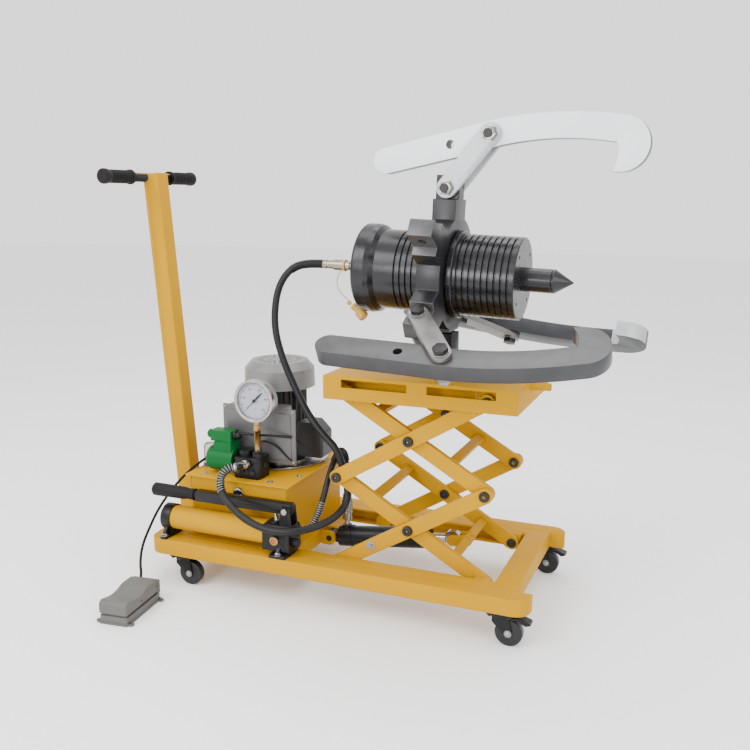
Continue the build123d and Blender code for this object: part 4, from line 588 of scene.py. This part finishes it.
def far_jaw_finish(c, n):
    """2 on what faces up on the hook, lighter as painted light, 1 on edges that don't face up, darker as
    painted shade, and 0 elsewhere, the far jaw's zinc made darker as painted shade.
    """
    if c.x > HOOK_FROM and n.z > HOOK_UP:
        return 2
    return int(abs(n.dot(FAR_FACE)) < FACING and n.z < EDGE_UP)


dress("jaw_top", [ZINC_PAINTED_LIGHT, ZINC_PAINTED_SHADE, DARK_BOLT], 1.5, top_jaw_finish)
# the near jaw's faces that don't face its near side get painted shade
dress("jaw_near", [JAW, ZINC_PAINTED_SHADE], 1.5, lambda c, n: int(n.dot(NEAR_FACE) < FACING))
dress("jaw_far", [JAW_FAR_SHADED, ZINC_PAINTED_SHADE, LINK_PAINTED_LIGHT], 1.5, far_jaw_finish)
dress("foot_pedal", SWITCH_GREY, 2.0)
dress("foot_switch_base", SWITCH_GREY, 1.2)

BOLT_R = 17.6                       # nothing of a bolt is further from its line
PLATE_FACE, NUT_END = 33.7, 47      # along the bolt's line, from its middle
# the near lug's painted highlight covers faces further than LUG_FROM mm from the yoke's middle and nearer
# than LUG_Y along Y
YOKE_MIDDLE, LUG_FROM, LUG_Y = Vector((202, 0, 802)), 168, -60


def bolt_part(c, pin, normal):
    """0 beside a bolt, 1 on its head, 2 on its nut and 3 on its threaded end."""
    off = (c - pin).dot(normal)
    if (c - pin - normal * off).length > BOLT_R or abs(off) < PLATE_FACE:
        return 0
    if off < 0:
        return 1
    return 2 if off < NUT_END else 3


def link_finish(pin, normal):
    """Face test for the links on one jaw bolt."""
    return lambda c, n: bolt_part(c, pin, normal)


def yoke_finish(c, n):
    """A yoke bolt's part, 4 on the near lug, which carries a painted highlight, and 0 elsewhere."""
    for pin, _, normal in LINKS.values():
        part = bolt_part(c, Vector(pin), Vector(normal))
        if part:
            return part
    return 4 if (c - YOKE_MIDDLE).length > LUG_FROM and c.y < LUG_Y else 0


# the last material is the painted highlight on the near lug
dress("yoke", [YOKE, DARK_BOLT, ZINC, DARK_BOLT, LUG_HIGHLIGHT], 1.2, yoke_finish)
# the top link gets painted light; the near and far links keep the links' own zinc
for name, mat in (("top", LINK_PAINTED_LIGHT), ("near", LINK), ("far", LINK)):
    _, jaw_pin, normal = LINKS[name]
    dress(f"link_{name}", [mat, DARK_BOLT, ZINC, DARK_BOLT], 1.0,
          link_finish(Vector(jaw_pin), Vector(normal)))
MOTOR_FLANGE_TOP, GAUGE_NUT_TOP, GAUGE_BACK, COUPLER_NUT_END = 289.6, 427, -133, -44
dress("motor_body", [MOTOR, STEEL], 0.0, lambda c, n: int(c.z < MOTOR_FLANGE_TOP))
dress("gauge_case", [STEEL, BRASS, COVER_GREY], 0.8,
      lambda c, n: 1 if c.z < GAUGE_NUT_TOP else int(c.y > GAUGE_BACK) * 2)
dress("rear_coupler", [STEEL, OLIVE], 0.6, lambda c, n: int(c.x < COUPLER_NUT_END))
dress("ram_coupler", STEEL, 0.6)
for node, mat in {
        "motor_rotor": MOTOR, "fan_cover": COVER_GREY, "hand_pump_tube": YELLOW,
        "gauge_pointer": INK, "handle_grips": RUBBER, "cylinder_barrel": BLUED,
        "cylinder_rings": BLUED, "piston_rod": BLUED,
        "lift_barrel": BLACK, "lift_rod": CHROME, "lower_arm_bolts": DARK_BOLT, "upper_arm_bolts": DARK_BOLT,
        "pump_plunger": CHROME, "release_knob": BLACK, "pump_unit": CHROME, "caster_plates": BLACK,
        "caster_brake_near": BLACK, "caster_brake_far": BLACK}.items():
    paint(node, mat)
for end in ("front", "rear"):
    for side in ("near", "far"):
        paint(f"caster_fork_{end}_{side}", BLACK)
        paint(f"caster_wheel_{end}_{side}", TYRE)


# ------------------------------------------------------------------ fittings along the hoses
SIDE_REF = Vector((0.31, 0.52, 0.79))       # a way along which no hose runs, to start a ring from


def sleeve(name, line, profile, mat, segments=28):
    """Turned fitting round a line; profile points are (mm from the line's first point, radius)."""
    def station(s):
        """Point and direction of the line at s mm from its start."""
        for a, b in zip(line, line[1:]):
            step = (b - a).length / MM
            if s <= step or b is line[-1]:
                return a + (b - a) * (s / step), (b - a).normalized()
            s -= step

    bm = bmesh.new()
    rings = []
    for s, r in profile:
        centre, tangent = station(s)
        side = (SIDE_REF - tangent * SIDE_REF.dot(tangent)).normalized()
        other = tangent.cross(side)
        rings.append([bm.verts.new(centre + (side * cos(2 * pi * k / segments)
                                             + other * sin(2 * pi * k / segments)) * r * MM)
                      for k in range(segments)])
    for a, b in zip(rings, rings[1:]):
        for k in range(segments):
            bm.faces.new((a[k], a[(k + 1) % segments], b[(k + 1) % segments], b[k]))
    bm.faces.new(rings[0])
    bm.faces.new(rings[-1])
    outward(bm)
    obj = add(name, bm, mat, None)
    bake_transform(obj)


sleeve("ferrule_valve", lower_end, [(0, 8.5), (3, 8.5), (3, 11.6), (12, 11.6), (13, 10.3), (16, 10.6),
                                    (40, 10.6), (42, 9.6)], STEEL)
sleeve("ferrule_puller", upper_line, [(0, 9.8), (6, 9.8), (6, 11), (16, 11), (18, 9.6)], OLIVE)
sleeve("ferrule_pump", ram_line, [(0, 9), (2, 10.2), (10, 10.2), (11, 8.8), (24, 9), (26, 8.2)], STEEL)
sleeve("ferrule_ram", ram_end, [(0, 8.6), (2, 10), (14, 10), (14, 8.4), (20, 9.4), (58, 9.2), (60, 8.2)],
       STEEL)
wire("cap_loop", [(-57, -8, 814), (-62, -12, 802), (-74, -14, 786), (-76, -12, 762), (-64, -10, 742),
                  (-48, -8, 730), (-40, -7, 724)], 1.1, CAP_YELLOW, "table")
turned("cap_collar", [(11.6, -2), (14.4, -2), (14.8, 0), (14.4, 2), (11.6, 2)], (-57, 0, 812.8),
       (1, 0, -0.042), CAP_YELLOW, "table")
turned("dust_cap", [(0, 0), (8, 0), (10, 1.5), (10, 8), (8.6, 9), (8.6, 20), (13, 22), (13.6, 40), (11.5, 43),
                    (0, 43)], (-34, -6, 716), (0.74, -0.10, -0.66), CAP_YELLOW, "table")
turned("dust_cap_ear", [(0, 0), (5.5, 0), (6, 1), (6, 4), (5.5, 5), (0, 5)], (-42, -12, 722),
       (0.2, -0.95, 0.1), CAP_YELLOW, "table")


# ------------------------------------------------------------------ bolts and screws
def scattered(name, profile, places, mat, body, segments=24):
    """One mesh of equal turned pieces at several (point, axis) places."""
    bm = bmesh.new()
    for point, axis in places:
        lathe(bm, profile, at(point, axis), segments)
    outward(bm)
    add(name, bm, mat, body)


def hexes(name, flats, height, places, mat, body, inset=0.6):
    """One mesh of equal hexagon heads at several (point, axis) places."""
    bm = bmesh.new()
    for point, axis in places:
        prism(bm, hexagon(flats), at(point, axis), height, inset)
    outward(bm)
    add(name, bm, mat, body)


PINS = {                            # (x, z) of the scissor's pins
    "left": (-15.04, 317.55), "right": (351.64, 317.55), "lower_middle": (168.3, 209.13),
    "upper_middle": (168.3, 425.98), "table_pin": (351.64, 534.40)}
CAP_FACES = ((159.6, 1), (122.4, -1))       # a cap's distance from the middle, and 1 where it faces out
CAP_PROFILE = [(4.9, 1.0), (4.9, 3.2), (5.6, 3.8), (10.2, 3.8), (11.8, 2.6), (12.5, 0), (12.5, -3.8),
               (4.9, -3.8)]
# a cap on each side of each arm's end, except on the table's pin, which has them outside only
for body, pins in {"upper_outer": ("left", "upper_middle"), "lower_outer": ("right",),
                   "lower_inner": ("lower_middle",), "table": ("table_pin",)}.items():
    spots = [((PINS[p][0], side * reach, PINS[p][1]), (0, side * facing, 0))
             for p in pins for side in (-1, 1) for reach, facing in CAP_FACES
             if p != "table_pin" or facing > 0]
    scattered(f"arm_caps_{body}", CAP_PROFILE, spots, DARK_BOLT, body)
    hexes(f"arm_sockets_{body}", 5.4, 2.2, spots, ZINC_DULL, body, 0.4)
ARM_BOLT = [((74.6, -155.5, 157.5), NEAR)]
hexes("arm_bolt_near", 8.5, 6, ARM_BOLT, ZINC, "lower_outer")
scattered("arm_washer_near", [(0, 0), (11, 0), (11, 1.4), (0, 1.4)], ARM_BOLT, ZINC, "lower_outer")

WASHER = [(10.2, 0), (18.6, 0), (19, 0.5), (18.6, 2), (10.2, 2)]
WASHER_FACE = 33.5                  # distance of a link's outer face from the middle of its jaw
for name, (yoke_pin, jaw_pin, normal) in LINKS.items():
    for place, pin, body in (("yoke", yoke_pin, "table"), ("jaw", jaw_pin, f"link_{name}")):
        faces = [(Vector(pin) + Vector(normal) * WASHER_FACE * s, Vector(normal) * s) for s in (-1, 1)]
        scattered(f"washers_{name}_{place}", WASHER, faces, ZINC, body)

LID_TOP = 279
LID_SCREWS = [((x, y, LID_TOP), UP) for x, y in (
    (-397, -145), (-203, -145), (-158, -74), (-397, 145), (-203, 145), (-158, 74), (-420, -74), (-420, 74))]
scattered("lid_screws", [(0, 2.7), (2.6, 2.5), (5, 0.9), (5.2, 0), (0, 0)], LID_SCREWS, ZINC, "trolley")
scattered("lid_washers", [(0, 0), (8, 0), (8, 0.9), (0, 0.9)], LID_SCREWS, ZINC, "trolley")
BOX_FACE = -74                      # near face of the terminal box's cover plate along Y
scattered("box_screws", [(0, 2.0), (2.4, 1.8), (4, 0), (0, 0)],
          [((x, BOX_FACE, z), NEAR) for x in (-371, -174) for z in (312, 444)], ZINC, "trolley")
FOOT_XS = (-468, -139.5)            # the hand pump's two feet
FOOT_BOLTS = [((x, -229, 127.8), UP) for x in FOOT_XS]
hexes("foot_bolts", 12, 6, FOOT_BOLTS, ZINC, "trolley", 1.2)
scattered("foot_washers", [(0, 0), (9.5, 0), (9.5, 1.2), (0, 1.2)], FOOT_BOLTS, ZINC, "trolley")

CASTER_Y, WHEEL_Z, AXLE_HALF, AXLE_OFFSET = 208, 31.5, 14.5, 18
SWIVEL_Z, PLATE_Z, PLATE_BOLT = 71, 76.7, 22
for end, x in (("front", 412), ("rear", -421)):
    for side, s in (("near", -1), ("far", 1)):
        fork = f"caster_{end}_{side}"
        y = s * CASTER_Y
        spots = [((x + AXLE_OFFSET, y + t * AXLE_HALF, WHEEL_Z), (0, t, 0)) for t in (-1, 1)]
        scattered(f"axle_caps_{end}_{side}", [(0, 4), (3.6, 3.8), (5.4, 2.6), (5.8, 0), (0, 0)], spots, ZINC,
                  fork)
        scattered(f"axle_washers_{end}_{side}", [(4, 0), (8.5, 0), (8.5, 1), (4, 1)], spots, HUB_GREY, fork)
        scattered(f"swivel_rings_{end}_{side}", [(21, 0), (23, 0.4), (24, 2), (23, 3.6), (21, 4)],
                  [((x, y, SWIVEL_Z), UP)], BLACK, fork, 40)
        corners = [((x + a * PLATE_BOLT, y + b * PLATE_BOLT, PLATE_Z), UP) for a in (-1, 1) for b in (-1, 1)]
        scattered(f"plate_bolts_{end}_{side}", [(0, -4), (5, -4), (5, 0), (0, 0)], corners, DARK_BOLT,
                  "trolley", 6)


# ------------------------------------------------------------------ gauge
GAUGE_X, GAUGE_Z = -246, 482
DIAL_Y, RED_Y, PRINT_Y, FIGURE_Y = -135, -135.55, -135.6, -135.7       # its layers along Y
BOSS_Y, BEZEL_Y, WINDOW_Y = -139.6, -140.5, -142.4
DIVISIONS, MAJOR = 50, 5
SCALE_START, SCALE_SWEEP = 225, 270         # degrees, clockwise from the start
TICK_R, FIGURE_R = 43.5, 30.5               # outer ends of the ticks, and middles of the figures
RED_START, RED_SWEEP, RED_STEPS = 62, 92, 24
RED_INNER, RED_OUTER = 41.5, 44.5
PRINT_DEPTH = 0.25
FIGURE_DEPTH = 0.0001                       # m, each way from a figure's middle


def on_dial(angle, radius, y):
    """Point at an angle and a radius from the gauge's middle."""
    return (GAUGE_X + cos(angle) * radius, y, GAUGE_Z + sin(angle) * radius)


turned("gauge_dial", [(0, 0), (47.6, 0), (47.6, 0.6), (0, 0.6)], (GAUGE_X, DIAL_Y, GAUGE_Z), NEAR, DIAL,
       "trolley", 96)
turned("gauge_bezel", [(46.5, 0), (46.5, 3.5), (48.5, 5.2), (52, 5.2), (54.2, 3.2), (54.4, -8), (52, -8.4)],
       (GAUGE_X, BEZEL_Y, GAUGE_Z), NEAR, STEEL, "trolley", 96)
turned("gauge_window", [(0, 0), (46.6, 0), (46.6, 1.2), (0, 1.2)], (GAUGE_X, WINDOW_Y, GAUGE_Z), NEAR,
       GLASS, "trolley", 96)
turned("gauge_boss", [(0, 0), (4.6, 0), (4.6, 2.2), (3.8, 3), (0, 3)], (GAUGE_X, BOSS_Y, GAUGE_Z), NEAR,
       INK, "pointer", 32)
ticks = bmesh.new()
for tick in range(DIVISIONS + 1):
    angle = radians(SCALE_START - SCALE_SWEEP * tick / DIVISIONS)
    long, wide = (7.5, 0.75) if tick % MAJOR == 0 else (4.0, 0.35)
    place = at(on_dial(angle, TICK_R - long / 2, PRINT_Y), NEAR, (cos(angle), 0, sin(angle)))
    outline = [(-long / 2, -wide), (long / 2, -wide), (long / 2, wide), (-long / 2, wide)]
    prism(ticks, outline, place, PRINT_DEPTH)
red = bmesh.new()
for step in range(RED_STEPS):
    outline = []
    for q, r in ((step, RED_INNER), (step + 1, RED_INNER), (step + 1, RED_OUTER), (step, RED_OUTER)):
        angle = radians(RED_START - RED_SWEEP * q / RED_STEPS)
        outline.append((r * cos(angle), r * sin(angle)))
    prism(red, outline, at((GAUGE_X, RED_Y, GAUGE_Z), NEAR, FRONT), PRINT_DEPTH)
outward(ticks)
outward(red)
add("gauge_ticks", ticks, INK, "trolley")
add("gauge_red_arc", red, RED, "trolley")


def digits(name, text, point, size, mat, body):
    """Flat figures that face -Y."""
    curve = bpy.data.curves.new(name, "FONT")
    curve.body = text
    curve.size = size * MM
    curve.extrude = FIGURE_DEPTH
    curve.align_x = "CENTER"
    curve.align_y = "CENTER"
    made = bpy.data.objects.new(name, curve)
    bpy.context.scene.collection.objects.link(made)
    mesh = read_mesh(made)
    mesh.transform(at(point, NEAR, FRONT))
    mesh.name = name
    add_mesh(name, mesh, mat, body)


FIGURES, FIGURE_STEP = 6, 20
for index in range(FIGURES):
    angle = radians(SCALE_START - SCALE_SWEEP / (FIGURES - 1) * index)
    digits(f"gauge_figure_{index}", str(FIGURE_STEP * index), on_dial(angle, FIGURE_R, FIGURE_Y), 8.5, INK,
           "trolley")
digits("gauge_figure_unit", "100", (GAUGE_X, FIGURE_Y, 461), 5.0, INK, "trolley")


# ------------------------------------------------------------------ power pack
SIGHT, PUMP_PLUG = (-285, -160, 244), (-149, -228, 162)
WEB_HALF = 4
turned("motor_plate", [(60, 0), (127, 0), (128, 1), (128, 5), (127, 6), (60, 6)], (-282, 62, LID_TOP), UP,
       STEEL, "trolley", 96)
turned("breather_cap", [(0, 0), (20, 0), (20, 7), (16.5, 9), (17.5, 30), (17.5, 52), (14, 60), (0, 62)],
       (-421, -76, LID_TOP), UP, MILKY, "trolley")
wire("coil_cable", [(-310, -116, 381), (-296, -118, 390), (-268, -112, 386), (-232, -98, 385),
                    (-196, -86, 383), (-176, -78, 380)], 3.2, BLACK, "trolley")
turned("coil_gland", [(0, 0), (12, 0), (12, 8), (9, 10), (9, 16), (6, 20), (0, 20)], (-321, -116, 381), FRONT,
       BLACK, "trolley", 24)
turned("connector_gland", [(0, 0), (9, 0), (9, 4), (11, 5), (11, 13), (8, 16), (0, 16)], (-381, -116, 379),
       (-1, 0, 0), GREEN, "trolley", 24)
wire("block_cable", [(-268, -104, 336), (-266, -96, 362), (-243, -88, 368), (-214, -80, 352),
                     (-190, -78, 326), (-178, -76, 318)], 2.6, BLACK, "trolley")
bm = bmesh.new()
prism(bm, rounded(-366, -179, 317, 439, 8), at((0, BOX_FACE, 0), NEAR, FRONT), 2.2, 1.2)
outward(bm)
add("box_panel", bm, BOX_GREY, "trolley", 20)
turned("sight_ring", [(8, 0), (8, 4.5), (10, 6), (13.5, 5.2), (15, 3), (15, 0)], SIGHT, NEAR,
       CHROME, "trolley")
turned("sight_window", [(0, 0), (8.2, 0), (8.2, 3), (0, 3.6)], SIGHT, NEAR, INK, "trolley")
turned("plug_ring", [(0, 0), (11, 0), (11.4, 1), (11.4, 3), (9.6, 4.4), (7, 4.4), (7, 1.6), (0, 1.6)],
       PUMP_PLUG, NEAR, BRASS, "trolley")
turned("plug_core", [(0, 0), (6.6, 0), (6.6, 3.4), (5, 4.2), (0, 4.2)], PUMP_PLUG, NEAR, ORANGE,
       "trolley")
bm = bmesh.new()
for x in FOOT_XS:
    prism(bm, [(-208, 127.5), (-236, 127.5), (-236, 130), (-218, 150), (-208, 168)],
          at((x - WEB_HALF, 0, 0), FRONT, FAR), 2 * WEB_HALF)
outward(bm)
add("foot_webs", bm, BLACK, "trolley")
turned("valve_spindle", [(0, 0), (9, 0), (9, 5), (6, 6), (6, 13), (4, 14), (0, 14)], (-286, -146, 300), NEAR,
       DARK_BOLT, "trolley", 24)
hexes("block_plugs", 12, 4, [((-252, -146, 296), NEAR), ((-234, -116, 312), FRONT)], DARK_BOLT,
      "trolley", 1.0)
turned("block_adapter", [(0, 0), (11, 0), (11, 5), (9, 6), (9, 10), (0, 10)], (-246, -128, 346), UP,
       DARK_BOLT, "trolley", 6)
turned("lever_pin_near", [(0, 0), (7.5, 0), (8, 1), (7, 3), (0, 3.2)], (-128, -214, 233), NEAR, ZINC,
       "pump_lever", 24)
wire("pump_link", [(-160, -192, 200), (-160, -192, 218)], 2.4, ZINC, "trolley")


# ------------------------------------------------------------------ foot switch
TURN = radians(6)
SWITCH = Vector((-452, -396, 0))
SWITCH_PIN_X, SWITCH_PINS = 36, ((62, 40), (-8, 33))        # pin ends beside the middle, and (y, z) of each
SWITCH_SCREW_X, SWITCH_SCREW_Y, SWITCH_SCREW_Z = 37, 66, 5


def on_switch(x, y, z):
    """Point given along the turned foot switch from its middle."""
    return SWITCH + Vector((x * cos(TURN) - y * sin(TURN), x * sin(TURN) + y * cos(TURN), z))


across = Vector((cos(TURN), sin(TURN), 0))
scattered("switch_pins", [(0, 0), (3.6, 0), (3.6, 1), (2.6, 1.6), (0, 1.6)],
          [(on_switch(side * SWITCH_PIN_X, y, z), across * side) for y, z in SWITCH_PINS for side in (-1, 1)],
          ZINC_DULL, "foot_pedal")
scattered("switch_screws", [(0, 0), (3.4, 0), (3, 1.2), (0, 1.5)],
          [(on_switch(a * SWITCH_SCREW_X, b * SWITCH_SCREW_Y, SWITCH_SCREW_Z), UP)
           for a in (-1, 1) for b in (-1, 1)],
          DARK_BOLT, "trolley")
